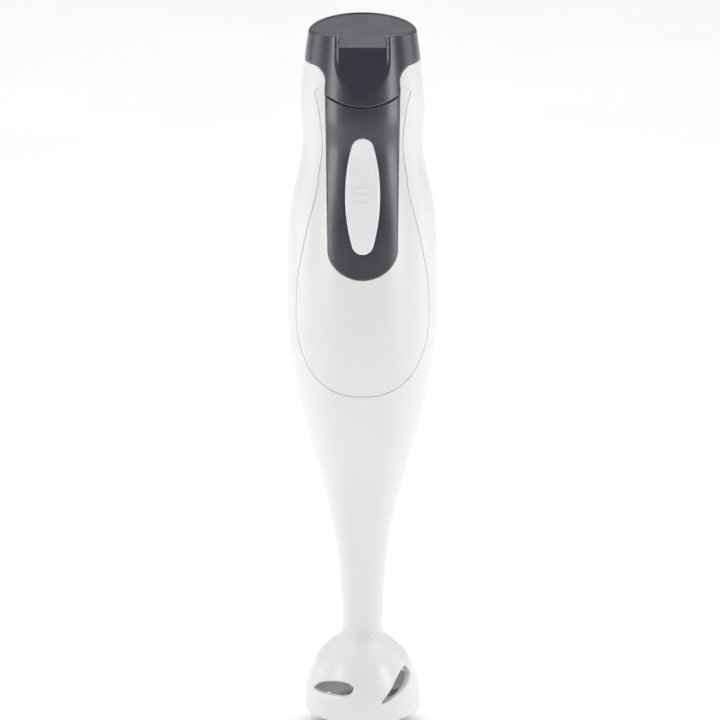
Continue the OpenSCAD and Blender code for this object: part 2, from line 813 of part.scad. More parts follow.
module blade_hub() {
    high = boss_low - 1.4;
    color("whitesmoke")
        difference() {
            union() {
                rod(5.2, z_blade + blade_t + tight, z_blade + blade_t + 2.5);
                rod(4.2, z_blade + blade_t + 2, high);
            }
            rod(shaft_r, z_blade, high + 1);
        }
}
// Two swept arms, one bent up and one bent down, from a flat middle.
module blade() {
    arm_from = 6.5;
    arm = blade_r - arm_from;
    color("silver")
        difference() {
            union() {
                rod(7, z_blade, z_blade + blade_t);
                for (side = [0, 1])
                    rotate([0, 0, 180 * side]) translate([arm_from, 0, z_blade])
                        rotate([0, side == 0 ? -14 : 10, 0])
                            linear_extrude(blade_t)
                                polygon([
                                    [-.8, -5], [arm * .5, -5.4], [arm * .95, -2.2],
                                    [arm, 1.4], [arm * .6, 3.4], [-.8, 4.6]
                                ]);
            }
            rod(shaft_r, z_blade - 5, z_blade + 8);
        }
}
module blade_nut() {
    color("silver")
        difference() {
            translate([0, 0, z_nut]) cylinder(r = 4.6, h = z_blade - z_nut - tight, $fn = 6);
            rod(shaft_r, z_nut - 1, z_blade);
        }
}

// ---- Bushes and seal ------------------------------------------------------------------------
module upper_shaft_bush() {
    color("peru") tube(bush_r - tight, shaft_r + running, upper_bush_low + 1 + tight, upper_bush_high + 1);
}
module lower_shaft_bush() {
    color("peru") tube(bush_r - tight, shaft_r + running, lower_bush_low, lower_bush_high);
}
module shaft_seal() {
    color("dimgray")
        tube(seal_r - tight, shaft_r + running, boss_low + retainer_h + tight, boss_low + retainer_h + seal_h);
}
module seal_retainer() {
    color("whitesmoke") tube(seal_r - tight, shaft_r + .6, boss_low, boss_low + retainer_h);
}

// ---- Blade guard ----------------------------------------------------------------------------
// The guard's outline: share of its height, share of its widening from the neck.
bell_curve = [[0, .985], [.3, 1], [.43, .973], [.553, .901], [.675, .775], [.789, .632], [.912, .379], [1, 0]];
bell_points = [for (p = bell_curve) [p.x * bell_h, neck_r + p.y * (bell_r - neck_r)]];
function bell_out(z) = smooth(bell_points, min(max(z, 0), bell_h));
function bell_in(z) = bell_out(z + .6 * bell_wall) - bell_wall;
bell_rings = [for (i = [0:14]) bell_h * sin(90 * i / 14)];

// A near-level slot and a slanted one, each round its own azimuth: along the wall, height above the feet.
level_slot = [[-11.3, 23], [-7.5, 26.3], [-1, 28.3], [5, 28.9], [9.6, 28], [11.2, 25.6], [8.9, 22.7],
              [1.6, 22.3], [-7.8, 22]];
slant_slot = [[-11.3, 19.6], [-6.5, 24.2], [-1.6, 28.9], [3, 31.8], [7, 33],
              [9, 31.2], [8.9, 28.3], [2.9, 24.3], [-4.5, 21.2], [-9.8, 18.9]];
slot_scale = bell_h / 46.5;
slots = [[-36, level_slot], [45, slant_slot]];

module bell_guard() {
    ceiling = bell_h - 1.5 * bell_wall;
    inner = [for (z = bell_rings) if (z < ceiling) [bell_in(z), z]];
    n = len(inner) - 1;
    color("whitesmoke")
        difference() {
            union() {
                difference() {
                    rotate_extrude()
                        polygon(concat(
                            [for (z = bell_rings) [bell_out(z), z]], [[bush_r - 1, bell_h]],
                            [[bush_r - 1, ceiling], [inner[n].x, ceiling]],
                            [for (i = [n:-1:0]) inner[i]]
                        ));
                    for (half_turn = [0, 180]) rotate([0, 0, half_turn]) side_cuts();
                }
                tube(boss_r, seal_r, boss_low, bell_h - 2);
                rod(boss_r, lower_bush_low - 1, bell_h - 1);
                rod(neck_r - wall - 2 * tight, bell_h - 1, bell_h + spigot_h);
            }
            rod(seal_r, boss_low - 1, boss_low + retainer_h + seal_h + tight);
            rod(bush_r, lower_bush_low - .4, bell_h + spigot_h + 1);
            rod(shaft_r + 1, boss_low, lower_bush_low + 1);
        }
}
// The arch on one side and one of each slot.
module side_cuts() {
    far = 60;
    open = 90 - foot_angle;
    translate([0, 0, -1])
        linear_extrude(arch_h + 1)
            polygon([[0, 0], far * [cos(open), -sin(open)], [2 * far, 0], far * [cos(open), sin(open)]]);
    for (s = slots)
        rotate([0, 0, s[0]])
            front_prism(40, 12) scale(slot_scale) polygon(closed_curve(s[1], 3));
}

main_housing();
front_cover();
control_panel();
top_cap();
bell_guard();
inlet_grommet();
power_button();
button_return_spring();
switch_plunger();
switch_body();
circuit_board();
rectifier_diodes();
suppression_capacitor();
interference_chokes();
mains_terminal();
board_screws();
cover_screws();
motor_leads();
switch_leads();
motor_can();
motor_magnets();
motor_end_cap();
brush_holders();
carbon_brushes();
brush_springs();
upper_motor_bearing();
lower_motor_bearing();
motor_mount();
motor_screws();
motor_damper();
motor_cradle();
motor_shaft();
armature_core();
armature_windings();
commutator();
cooling_fan();
shaft_coupling();
drive_shaft();
upper_shaft_bush();
lower_shaft_bush();
shaft_seal();
seal_retainer();
blade_hub();
blade();
blade_nut();
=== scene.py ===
import json
import math

import bmesh
import bpy
import numpy as np
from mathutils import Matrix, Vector
from mathutils.geometry import delaunay_2d_cdt


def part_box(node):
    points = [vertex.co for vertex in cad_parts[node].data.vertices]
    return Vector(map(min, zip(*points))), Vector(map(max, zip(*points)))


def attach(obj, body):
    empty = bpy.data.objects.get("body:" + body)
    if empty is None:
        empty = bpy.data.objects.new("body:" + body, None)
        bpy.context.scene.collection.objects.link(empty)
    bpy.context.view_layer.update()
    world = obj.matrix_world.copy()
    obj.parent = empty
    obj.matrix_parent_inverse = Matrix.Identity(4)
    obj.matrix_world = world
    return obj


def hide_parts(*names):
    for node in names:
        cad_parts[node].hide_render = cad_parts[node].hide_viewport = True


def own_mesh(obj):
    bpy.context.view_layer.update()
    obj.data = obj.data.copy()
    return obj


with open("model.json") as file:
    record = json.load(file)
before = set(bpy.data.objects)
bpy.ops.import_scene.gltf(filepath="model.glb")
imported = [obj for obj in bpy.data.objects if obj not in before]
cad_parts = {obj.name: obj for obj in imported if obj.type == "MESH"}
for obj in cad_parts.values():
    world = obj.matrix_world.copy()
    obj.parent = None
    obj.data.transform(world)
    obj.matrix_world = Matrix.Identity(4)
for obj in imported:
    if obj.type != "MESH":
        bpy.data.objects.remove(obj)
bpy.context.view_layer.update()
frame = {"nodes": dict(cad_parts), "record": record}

# ---- The body's curves, in millimetres: these repeat part.scad ---------------------------------
LEG_H, HANDLE_H = 214.0, 127.0
Z_WIDE, TOTAL_H = LEG_H, LEG_H + HANDLE_H
BELL_H, BELL_R, BELL_WALL, NECK_R = 46.5, 27.5, 2.4, 9.3
WIDE_R, GRIP_R, SHOULDER_R, RIM_R, WALL = 35.1, 27.9, 28.8, 24.8, 2.4
SEAM = 0.25
# Radius at which an angle round the body is written as a length u.
R0 = 30.0
# Shares of each part's height, with shares of the change of radius over it.
LEG = [(0, 0), (0.13, 0.036), (0.273, 0.136), (0.415, 0.317), (0.556, 0.572), (0.697, 0.806),
       (0.837, 0.949), (1, 1)]
WAIST = [(0.2, 0.05), (0.29, 0.14), (0.375, 0.36), (0.465, 0.73), (0.57, 1)]
BODY = (
    [(BELL_H + x * (Z_WIDE - BELL_H), NECK_R + y * (WIDE_R - NECK_R)) for x, y in LEG]
    + [(Z_WIDE + x * HANDLE_H, WIDE_R - y * (WIDE_R - GRIP_R)) for x, y in WAIST]
    + [(Z_WIDE + 0.71 * HANDLE_H, SHOULDER_R)]
    + [(Z_WIDE + 0.885 * HANDLE_H, (SHOULDER_R + RIM_R) / 2), (TOTAL_H, RIM_R)]
)
BELL = [(0, 0.985), (0.3, 1), (0.43, 0.973), (0.553, 0.901), (0.675, 0.775), (0.789, 0.62),
        (0.9, 0.33), (1, 0)]
BELL = [(x * BELL_H, NECK_R + y * (BELL_R - NECK_R)) for x, y in BELL]
# Shares of the handle's height, with the shield's half width as a share of the body's radius there.
SHIELD = [(-0.026, 0.889), (0.09, 0.864), (0.2, 0.804), (0.298, 0.746), (0.402, 0.69), (0.5, 0.69),
          (0.584, 0.67), (0.669, 0.674), (0.741, 0.7235), (0.788, 0.795)]
SHIELD_RISE = 3.4
CLOSED = 0.04


def smooth(points, x):
    """A smooth curve through points, with the slope at each from its neighbours."""
    p = np.asarray(points, float)
    n = len(p)
    low, high = np.maximum(np.arange(n) - 1, 0), np.minimum(np.arange(n) + 1, n - 1)
    slope = (p[high, 1] - p[low, 1]) / (p[high, 0] - p[low, 0])
    i = np.clip(np.searchsorted(p[:, 0], x, side="right") - 1, 0, n - 2)
    h = p[i + 1, 0] - p[i, 0]
    t = (x - p[i, 0]) / h
    s = t * t * (3 - 2 * t)
    return p[i, 1] + s * (p[i + 1, 1] - p[i, 1]) + h * t * (1 - t) * (slope[i] * (1 - t) - slope[i + 1] * t)


def body_r(z):
    return smooth(BODY, np.clip(z, BELL_H, TOTAL_H))


def bell_r(z):
    return smooth(BELL, np.clip(z, 0, BELL_H))


def bell_in(z):
    return bell_r(np.asarray(z) + 0.6 * BELL_WALL) - BELL_WALL


# ---- Outlines on the front, in x and z -------------------------------------------------------
CAP_LOW, TONGUE_LOW, TONGUE_SAG, TONGUE_FILLET = TOTAL_H - 14.8, TOTAL_H - 0.256 * HANDLE_H, 4.6, 6.5
PANEL_W, PANEL_T, PANEL_U = 34.5, 1.6, 13.6
Z_U = Z_WIDE + 14.4 + PANEL_U
Z_BUTTON, BUTTON_H, BUTTON_W, BUTTON_END, BUTTON_GAP = Z_WIDE + 53.4, 53.7, 16.2, 5.1, 0.35
COVER_WALL, SHIELD_GAP = 3.6, 0.16


def panel_half(z):
    """Half the width of the panel, which narrows downwards."""
    return PANEL_W / 2 - 0.016 * (TONGUE_LOW - z)


def joint_z(x):
    """Height of the joint between the panel and the cap's tongue."""
    return TONGUE_LOW + TONGUE_SAG * (x / (PANEL_W / 2)) ** 2


def u_end(half, depth, z_top, power, n):
    """The right half of a rounded lower end, upwards from its middle."""
    turns = np.radians(np.linspace(0, 90, n + 1))
    share = 2 / power
    return [(half * math.sin(t) ** share, z_top - depth * max(math.cos(t), 0) ** share) for t in turns]


def mirrored(right):
    """A closed outline from its right half, which runs upwards."""
    return np.array(right + [(-x, z) for x, z in reversed(right) if abs(x) > 0.01], float)


def panel_right(gap):
    across = [(PANEL_W / 2 - gap) * i / 16 for i in range(16, -1, -1)]
    top = [(x, joint_z(x) - gap) for x in across]
    side = [(panel_half(z) - gap, z) for z in np.linspace(Z_U, joint_z(PANEL_W / 2) - gap, 26)[1:-1]]
    return u_end(panel_half(Z_U) - gap, PANEL_U - gap, Z_U, 2, 30) + side + top


def shield_right(gap):
    """The right half of the front cover's outline; its upper edge is a closed joint."""
    def z(share):
        return Z_WIDE + share * HANDLE_H

    def half(share):
        return max(float(smooth(SHIELD, share) * body_r(z(share))), panel_half(z(share)) + 1.4)

    low, high = SHIELD[0][0], SHIELD[-1][0]
    side = [(half(s) - gap, z(s)) for s in np.linspace(low, high - 0.01, 40)[1:]]
    close = min(gap, CLOSED)
    end = [(half(high) - gap, z(high) - close), (PANEL_W / 2 + 1, z(high) + SHIELD_RISE - close)]
    return u_end(half(low) - gap, 0.308 * HANDLE_H - gap, z(low), 2.5, 40) + side + end


def tongue_right(gap, top):
    """The right edge of the tongue, from the middle of its lower end up to height top."""
    w, f = PANEL_W / 2 - gap, TONGUE_FILLET
    z_mid = CAP_LOW + gap - f
    last = math.degrees(math.asin(min((top - z_mid) / f, 1)))
    arc = [math.radians(a) for a in np.linspace(180, 180 - last, 16)]
    low = [(w * i / 16, joint_z(w * i / 16) + gap) for i in range(17)]
    return low + [(w + f + f * math.cos(a), z_mid + f * math.sin(a)) for a in arc]


def button_outline(more):
    """The button's outline, larger by more all round: two flat arcs with two round ends."""
    hw, zc = BUTTON_W / 2, BUTTON_H / 2 - BUTTON_END
    big = (hw * hw + zc * zc - BUTTON_END**2) / (2 * (hw - BUTTON_END))
    turn = math.asin(zc / (big - BUTTON_END))
    flat, end = big + more, BUTTON_END + more
    side = [(flat * math.cos(a) - big + hw, flat * math.sin(a)) for a in np.linspace(0, turn, 24)]
    side += [(end * math.cos(a), zc + end * math.sin(a)) for a in np.linspace(turn, math.pi / 2, 20)[1:]]
    half = [(x, -z) for x, z in reversed(side[1:])] + side
    return mirrored([(max(x, 0.0), Z_BUTTON + z) for x, z in half])


# ---- Skins: closed meshes from an outline on a curved face -------------------------------------
def rounded(loop, radius, keep=lambda p: False, least=25):
    """The outline with a small arc in place of each corner that turns by more than least degrees."""
    out, n = [], len(loop)
    for i in range(n):
        a, b, c = loop[i - 1], loop[i], loop[(i + 1) % n]
        if keep(b):
            out.append(b)
            continue
        u, v = a - b, c - b
        lu, lv = np.linalg.norm(u), np.linalg.norm(v)
        if min(lu, lv) < 1e-6:
            continue
        u, v = u / lu, v / lv
        inner = math.acos(float(np.clip(u @ v, -1, 1)))
        if math.degrees(math.pi - inner) < least:
            out.append(b)
            continue
        cut = min(radius / math.tan(inner / 2), 0.45 * lu, 0.45 * lv)
        p, q = b + u * cut, b + v * cut
        for t in np.linspace(0, 1, 5):
            out.append((1 - t) ** 2 * p + 2 * t * (1 - t) * b + t**2 * q)
    return np.array(out)


def resampled(loop, step):
    """The outline with points at most step apart."""
    out = []
    for a, b in zip(loop, np.roll(loop, -1, axis=0)):
        n = max(1, int(math.ceil(np.linalg.norm(b - a) / step)))
        out += [a + (b - a) * k / n for k in range(n)]
    return np.array(out)


def is_inside(points, loops):
    """True of the points that lie inside an odd number of the loops."""
    found = np.zeros(len(points), bool)
    for loop in loops:
        for a, b in zip(loop, np.roll(loop, -1, axis=0)):
            if a[1] == b[1]:
                continue
            crosses = (a[1] > points[:, 1]) != (b[1] > points[:, 1])
            x = a[0] + (points[:, 1] - a[1]) * (b[0] - a[0]) / (b[1] - a[1])
            found ^= crosses & (points[:, 0] < x)
    return found


def distance(points, sides):
    """From each point to the nearest of the sides, which are pairs of ends."""
    a = np.array([s[0] for s in sides])
    d = np.array([s[1] for s in sides]) - a
    size = np.maximum((d * d).sum(1), 1e-12)
    best = []
    for i in range(0, len(points), 400):
        to = points[i:i + 400, None, :] - a[None]
        t = np.clip((to * d[None]).sum(2) / size[None], 0, 1)
        best.append(np.sqrt(((to - t[:, :, None] * d[None]) ** 2).sum(2)).min(1))
    return np.concatenate(best) if best else np.zeros(0)


def lattice(u0, u1, z0, z1, step):
    """Points in a box in staggered rows."""
    nu, nz = max(1, math.ceil((u1 - u0) / step)), max(1, math.ceil((z1 - z0) / step))
    places = [(i + 0.5 * (j % 2), j) for j in range(nz + 1) for i in range(nu + 1)]
    return np.array([(u0 + (u1 - u0) * i / nu, z0 + (z1 - z0) * j / nz) for i, j in places])


def round_lip(d, radius):
    """Depth of a rounded edge at distance d from it."""
    return np.where(d < radius, radius - np.sqrt(np.maximum(radius**2 - (radius - d) ** 2, 0)), 0)


def insets_of(lip):
    """Distances from a rounded edge at which the mesh has points."""
    return [lip * (1 - math.cos(math.radians(a))) for a in (30, 60, 90)] + [lip * 1.6, lip * 1.6 + 0.7]


def skin(loops, front, back, lip=0.3, step=3.0, along=1.0, lines=(), wrap=None, corner=0.3,
         bare=None, fine=()):
    """(vertices, faces) of a closed sheet.

    loops are the outline, anticlockwise, and its holes, in u and z. front(p, d) and back(p, d) give the
    two faces' points from p and the distance to the edge. lines are more outlines that the mesh follows.
    wrap = (u, u) joins the sheet round the object. bare(a, b) is true of a side that isn't rounded.
    fine = (u, u, z, z, step) asks for more points in a box."""
    def at_join(p):
        return wrap is not None and (abs(p[0] - wrap[0]) < 1e-6 or abs(p[0] - wrap[1]) < 1e-6)

    loops = [resampled(rounded(np.asarray(l, float), corner, at_join), along) for l in loops]
    lines = [resampled(np.asarray(l, float), along) for l in lines]

    sides = [(a, b) for l in loops for a, b in zip(l, np.roll(l, -1, axis=0))
             if not (at_join(a) and at_join(b))]
    rounds = [s for s in sides if bare is None or not bare(*s)]
    points, edges = [], []
    for loop in [*loops, *lines]:
        n = len(points)
        points += list(loop)
        edges += [(n + i, n + (i + 1) % len(loop)) for i in range(len(loop))]
    insets = insets_of(lip)
    for loop in loops:
        turn = np.roll(loop, -1, axis=0) - np.roll(loop, 1, axis=0)
        normal = np.stack([-turn[:, 1], turn[:, 0]], 1) / np.linalg.norm(turn, axis=1)[:, None]
        if not is_inside(loop[:1] + 0.02 * normal[:1], loops)[0]:
            normal = -normal
        for inset in insets:
            ring = loop + inset * normal
            good = is_inside(ring, loops) & (distance(ring, sides) > 0.93 * inset)
            index = {}
            for i in np.nonzero(good)[0]:
                if wrap is None or wrap[0] + 0.2 < ring[i][0] < wrap[1] - 0.2:
                    index[i] = len(points)
                    points.append(ring[i])
            m = len(ring)
            edges += [(k, index[(i + 1) % m]) for i, k in index.items() if (i + 1) % m in index]
    every = np.array(points)
    low, high = every.min(0), every.max(0)
    grid = lattice(low[0], high[0], low[1], high[1], step)
    for box in fine:
        u, z = grid[:, 0], grid[:, 1]
        grid = grid[~((u > box[0]) & (u < box[1]) & (z > box[2]) & (z < box[3]))]
        grid = np.concatenate([grid, lattice(*box)])
    grid = grid[is_inside(grid, loops)]
    clear = 0.35 * min([step] + [box[4] for box in fine])
    grid = grid[distance(grid, sides) > insets[-1] + clear]
    for line in lines:
        grid = grid[distance(grid, list(zip(line, np.roll(line, -1, axis=0)))) > clear]
    if wrap is not None:
        grid = grid[(grid[:, 0] > wrap[0] + 0.4 * step) & (grid[:, 0] < wrap[1] - 0.4 * step)]
    points = [Vector(p) for p in every] + [Vector(p) for p in grid]
    made, _, faces, *_ = delaunay_2d_cdt(points, edges, [], 0, 1e-4, True)
    p = np.array([tuple(v) for v in made])
    faces = np.array([f[:] for f in faces])
    faces = faces[is_inside(p[faces].mean(1), loops)]
    a, b, c = (p[faces[:, i]] for i in range(3))
    area = (b[:, 0] - a[:, 0]) * (c[:, 1] - a[:, 1]) - (b[:, 1] - a[:, 1]) * (c[:, 0] - a[:, 0])
    faces = faces[np.abs(area) > 1e-9]
    area = area[np.abs(area) > 1e-9]
    faces[area < 0] = faces[area < 0][:, ::-1]
    if wrap is not None:
        join = np.arange(len(p))
        left = [i for i in range(len(p)) if abs(p[i][0] - wrap[0]) < 1e-5]
        right = [i for i in range(len(p)) if abs(p[i][0] - wrap[1]) < 1e-5]
        for k in right:
            join[k] = min(left, key=lambda i: abs(p[i][1] - p[k][1]))
        faces = join[faces]
    used = np.unique(faces)
    place = np.full(len(p), -1)
    place[used] = np.arange(len(used))
    p, faces = p[used], place[faces]
    d = distance(p, rounds) if rounds else np.full(len(p), 9.0)
    n = len(p)
    verts = np.concatenate([front(p, d), back(p, d)])
    count = {}
    for f in faces:
        for i in range(3):
            count[(f[i], f[(i + 1) % 3])] = 1
    walls = [(b, a, a + n, b + n) for a, b in count if (b, a) not in count]
    polys = [tuple(f) for f in faces] + [tuple(f[::-1] + n) for f in faces] + walls
    return verts, polys


def on_body(p, depth, r=body_r, r0=R0):
    """Points at u and z on a surface of revolution, depth below it along its normal."""
    phi, z = p[:, 0] / r0, p[:, 1]
    slope = (r(z + 0.05) - r(z - 0.05)) / 0.1
    n = 1 / np.sqrt(1 + slope**2)
    radius = r(z) - depth * n
    return np.stack([radius * np.sin(phi), -radius * np.cos(phi), z + depth * slope * n], 1)


def inside_body(p, depth, r=body_r, r0=R0):
    """The same, but straight in towards the axis."""
    phi, z = p[:, 0] / r0, p[:, 1]
    radius = r(z) - depth
    return np.stack([radius * np.sin(phi), -radius * np.cos(phi), z], 1)


def unrolled(loop, r=body_r, r0=R0, back=False):
    """An outline in x and z as u and z round the body; back puts it on the rear half."""
    loop = np.asarray(loop, float)
    phi = np.arcsin(np.clip(loop[:, 0] / r(loop[:, 1]), -1, 1))
    return np.stack([((math.pi - phi) if back else phi) * r0, loop[:, 1]], 1)


def revolved(profile, n=96):
    """(vertices, faces) of a closed profile of (radius, z) turned round Z. It runs anticlockwise."""
    phis = np.linspace(0, 2 * math.pi, n, endpoint=False)
    verts, polys, m = [], [], len(profile)
    for r, z in profile:
        verts += [(r * math.sin(a), -r * math.cos(a), z) for a in phis]
    for i in range(m):
        j = (i + 1) % m
        polys += [(i * n + k, i * n + (k + 1) % n, j * n + (k + 1) % n, j * n + k) for k in range(n)]
    return np.array(verts), polys


def arc(cx, cz, r, start, end, n=5):
    turns = np.radians(np.linspace(start, end, n))
    return [(cx + r * math.cos(a), cz + r * math.sin(a)) for a in turns]


def lathe(sections):
    """A closed profile from corners (radius, z, rounding), anticlockwise."""
    pts = np.array([(s[0], s[1]) for s in sections], float)
    out, n = [], len(pts)
    for i, s in enumerate(sections):
        size = s[2] if len(s) > 2 else 0
        a, b, c = pts[i - 1], pts[i], pts[(i + 1) % n]
        if size == 0:
            out.append(tuple(b))
            continue
        u, v = (a - b) / np.linalg.norm(a - b), (c - b) / np.linalg.norm(c - b)
        cut = min(size, 0.48 * np.linalg.norm(a - b), 0.48 * np.linalg.norm(c - b))
        p, q = b + u * cut, b + v * cut
        out += [tuple((1 - t) ** 2 * p + 2 * t * (1 - t) * b + t**2 * q) for t in np.linspace(0, 1, 5)]
    return out


def swept(path, r, sides=10):
    """(vertices, faces) of a round wire along points. r is one radius, or one for each point."""
    path = np.asarray(path, float)
    r = np.broadcast_to(np.asarray(r, float), (len(path),))[:, None, None]
    d = np.gradient(path, axis=0)
    d /= np.linalg.norm(d, axis=1)[:, None]
    aside = np.array([0.37, 0.21, 0.9])
    u = np.cross(d, aside)
    u /= np.linalg.norm(u, axis=1)[:, None]
    v = np.cross(u, d)
    a = np.linspace(0, 2 * math.pi, sides, endpoint=False)
    ring = np.cos(a)[None, :, None] * u[:, None] + np.sin(a)[None, :, None] * v[:, None]
    verts = (path[:, None] + r * ring).reshape(-1, 3)
    n = len(path)
    polys = [
        (i * sides + k, i * sides + (k + 1) % sides, (i + 1) * sides + (k + 1) % sides, (i + 1) * sides + k)
        for i in range(n - 1) for k in range(sides)
    ]
    polys += [tuple(range(sides))[::-1], tuple((n - 1) * sides + k for k in range(sides))]
    return verts, polys


# ---- Meshes and booleans, still in millimetres -------------------------------------------------
MM = 0.001
FULL_EDGE = math.radians(40)


def raw_mesh(verts, polys):
    mesh = bpy.data.meshes.new("work")
    mesh.from_pydata([tuple(map(float, v)) for v in verts], [], [tuple(map(int, f)) for f in polys])
    mesh.validate()
    mesh.update()
    return mesh


def fixed_normals(mesh):
    """Joins points that coincide, and turns the faces outwards."""
    bm = bmesh.new()
    bm.from_mesh(mesh)
    bmesh.ops.remove_doubles(bm, verts=bm.verts, dist=0.0004)
    if bm.calc_volume(signed=True) < 0:
        bmesh.ops.reverse_faces(bm, faces=bm.faces)
    bm.to_mesh(mesh)
    bm.free()
    return mesh


def solid(verts, polys):
    o = bpy.data.objects.new("work", fixed_normals(raw_mesh(verts, polys)))
    bpy.context.scene.collection.objects.link(o)
    return o


def combined(base, add=(), cut=()):
    """base with solids added and then cut away. The solids are used up."""
    for how, others in (("UNION", add), ("DIFFERENCE", cut)):
        for other in others:
            m = base.modifiers.new("b", "BOOLEAN")
            m.operation, m.object, m.solver = how, other, "MANIFOLD"
            graph = bpy.context.evaluated_depsgraph_get()
            mesh = bpy.data.meshes.new_from_object(base.evaluated_get(graph))
            base.modifiers.clear()
            base.data = mesh
            bpy.data.objects.remove(other)
    return base


def turned_y(verts):
    """A shape made round Z, laid so that its axis runs along +Y."""
    v = np.asarray(verts, float)
    return np.stack([v[:, 0], v[:, 2], -v[:, 1]], 1)


def rod_y(r, x, z, front, back, chamfer=0.0, n=48):
    """A round bar along Y from front to back."""
    profile = [(0.0001, front), (r, front, chamfer), (r, back, chamfer), (0.0001, back)]
    verts, polys = revolved(lathe(profile), n)
    return solid(turned_y(verts) + np.array([x, 0, z]), polys)


def finished(o, name, body, slot, stands_for, sharp=38):
    """The solid as a named piece in metres that rides on a body and stands for CAD nodes."""
    o.name = o.data.name = name
    o.data.transform(((MM, 0, 0, 0), (0, MM, 0, 0), (0, 0, MM, 0), (0, 0, 0, 1)))
    o.data.polygons.foreach_set("use_smooth", [True] * len(o.data.polygons))
    o.data.set_sharp_from_angle(angle=math.radians(sharp))
    bm = bmesh.new()
    bm.from_mesh(o.data)
    turns = [max([e.calc_face_angle_signed(0) for e in v.link_edges], default=0) for v in bm.verts]
    bm.free()
    near = np.clip(np.array(turns) / FULL_EDGE, 0, 1).astype(np.float32)
    o.data.attributes.new("edge", "FLOAT", "POINT").data.foreach_set("value", near)
    o.data.materials.clear()
    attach(o, body)
    o.data.materials.append(finish_of(slot))
    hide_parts(*stands_for)
    return o


# ---- Materials ---------------------------------------------------------------------------------
def linear(*rgb):
    """A colour of 0 to 255 in each channel as the shader's numbers."""
    return tuple((c / 255 / 12.92 if c <= 10 else ((c / 255 + 0.055) / 1.055) ** 2.4) for c in rgb) + (1.0,)


class Finish:
    """A principled material whose colour, roughness and bump come from its own noise."""

    def __init__(self, name):
        self.material = bpy.data.materials.new(name)
        self.material.use_nodes = True
        self.tree = self.material.node_tree
        self.shader = self.tree.nodes["Principled BSDF"]
        self.place = self.add("TexCoord").outputs["Object"]
        self.bump = None

    def add(self, kind, inputs=None, **settings):
        node = self.tree.nodes.new("ShaderNode" + kind)
        for key, value in settings.items():
            setattr(node, key, value)
        for key, value in (inputs or {}).items():
            self.set(node.inputs[key], value)
        return node

    def set(self, socket, value):
        if isinstance(value, bpy.types.NodeSocket):
            self.tree.links.new(value, socket)
        else:
            socket.default_value = value

    def noise(self, scale, detail=2.0, stretch=(1, 1, 1), rough=0.5):
        """Noise with that many features for each metre, times stretch along each axis."""
        at = self.add("Mapping", {"Vector": self.place, "Scale": stretch}).outputs[0]
        inputs = {"Vector": at, "Scale": scale, "Detail": detail, "Roughness": rough}
        return self.add("TexNoise", inputs).outputs["Fac"]

    def bands(self, scale, distortion):
        """Even ridges across Z."""
        inputs = {"Vector": self.place, "Scale": scale, "Distortion": distortion, "Detail": 1.0}
        return self.add("TexWave", inputs, bands_direction="Z").outputs["Fac"]

    def sum(self, a, b, operation="ADD"):
        return self.add("Math", {0: a, 1: b}, operation=operation).outputs[0]

    def between(self, value, low, high, start=0.0, end=1.0):
        """value from low to high as start to end."""
        names = {"Value": value, "From Min": low, "From Max": high, "To Min": start, "To Max": end}
        return self.add("MapRange", names, interpolation_type="SMOOTHSTEP").outputs[0]

    def mix(self, how_much, a, b):
        return self.add("MixRGB", {"Fac": how_much, "Color1": a, "Color2": b}).outputs[0]

    def colour(self, value):
        self.set(self.shader.inputs["Base Color"], value)
        return self

    def rough(self, value):
        self.set(self.shader.inputs["Roughness"], value)
        return self

    def relief(self, height, depth, strength=1.0):
        """Bump of that depth in metres, on top of any before it."""
        inputs = {"Height": height, "Distance": depth, "Strength": strength}
        if self.bump is not None:
            inputs["Normal"] = self.bump
        self.bump = self.add("Bump", inputs).outputs[0]
        self.set(self.shader.inputs["Normal"], self.bump)
        return self

    def number(self, **values):
        names = {"metal": "Metallic", "coat": "Coat Weight", "coat_rough": "Coat Roughness",
                 "sheen": "Sheen Weight"}
        for key, value in values.items():
            self.shader.inputs[names[key]].default_value = value
        return self


def moulded(name, dark, light, rough, grain=5000, grain_depth=4e-6, flow=25, wear=None):
    """Moulded plastic: slow colour drift, a fine grain, smears, a few hairlines and worn edges."""
    f = Finish(name)
    drift = f.between(f.noise(flow, 3, (1, 1, 0.5)), 0.35, 0.65)
    colour = f.mix(drift, linear(*dark), linear(*light))
    smear = f.between(f.noise(70, 4, (1.2, 1.2, 0.6), 0.55), 0.35, 0.7)
    hairline = f.between(f.noise(260, 2, (1, 0.35, 9), 0.4), 0.66, 0.7)
    if wear:
        edge = f.add("Attribute", attribute_name="edge", attribute_type="GEOMETRY").outputs["Fac"]
        patches = f.between(f.noise(420, 4), 0.35, 0.7, 0.25, 1.0)
        colour = f.mix(f.sum(edge, patches, "MULTIPLY"), colour, linear(*wear))
    f.colour(colour)
    f.rough(f.sum(f.between(smear, 0, 1, *rough), f.between(hairline, 0, 1, 0, 0.05)))
    f.relief(f.noise(grain, 2, rough=0.6), grain_depth)
    f.relief(f.noise(45, 1), 6e-6, 0.4)
    return f


def metal(name, dark, light, rough, brushed=(1, 1, 30), lines=900, depth=1.5e-6):
    """Metal with fine tool lines across Z, tarnish in patches and a slight tint."""
    f = Finish(name)
    tarnish = f.between(f.noise(160, 5, rough=0.6), 0.4, 0.66)
    line = f.noise(lines, 3, brushed, 0.6)
    f.colour(f.mix(tarnish, linear(*light), linear(*dark)))
    f.rough(f.between(f.sum(line, tarnish), 0.5, 1.6, *rough))
    f.relief(line, depth)
    return f.number(metal=1.0)


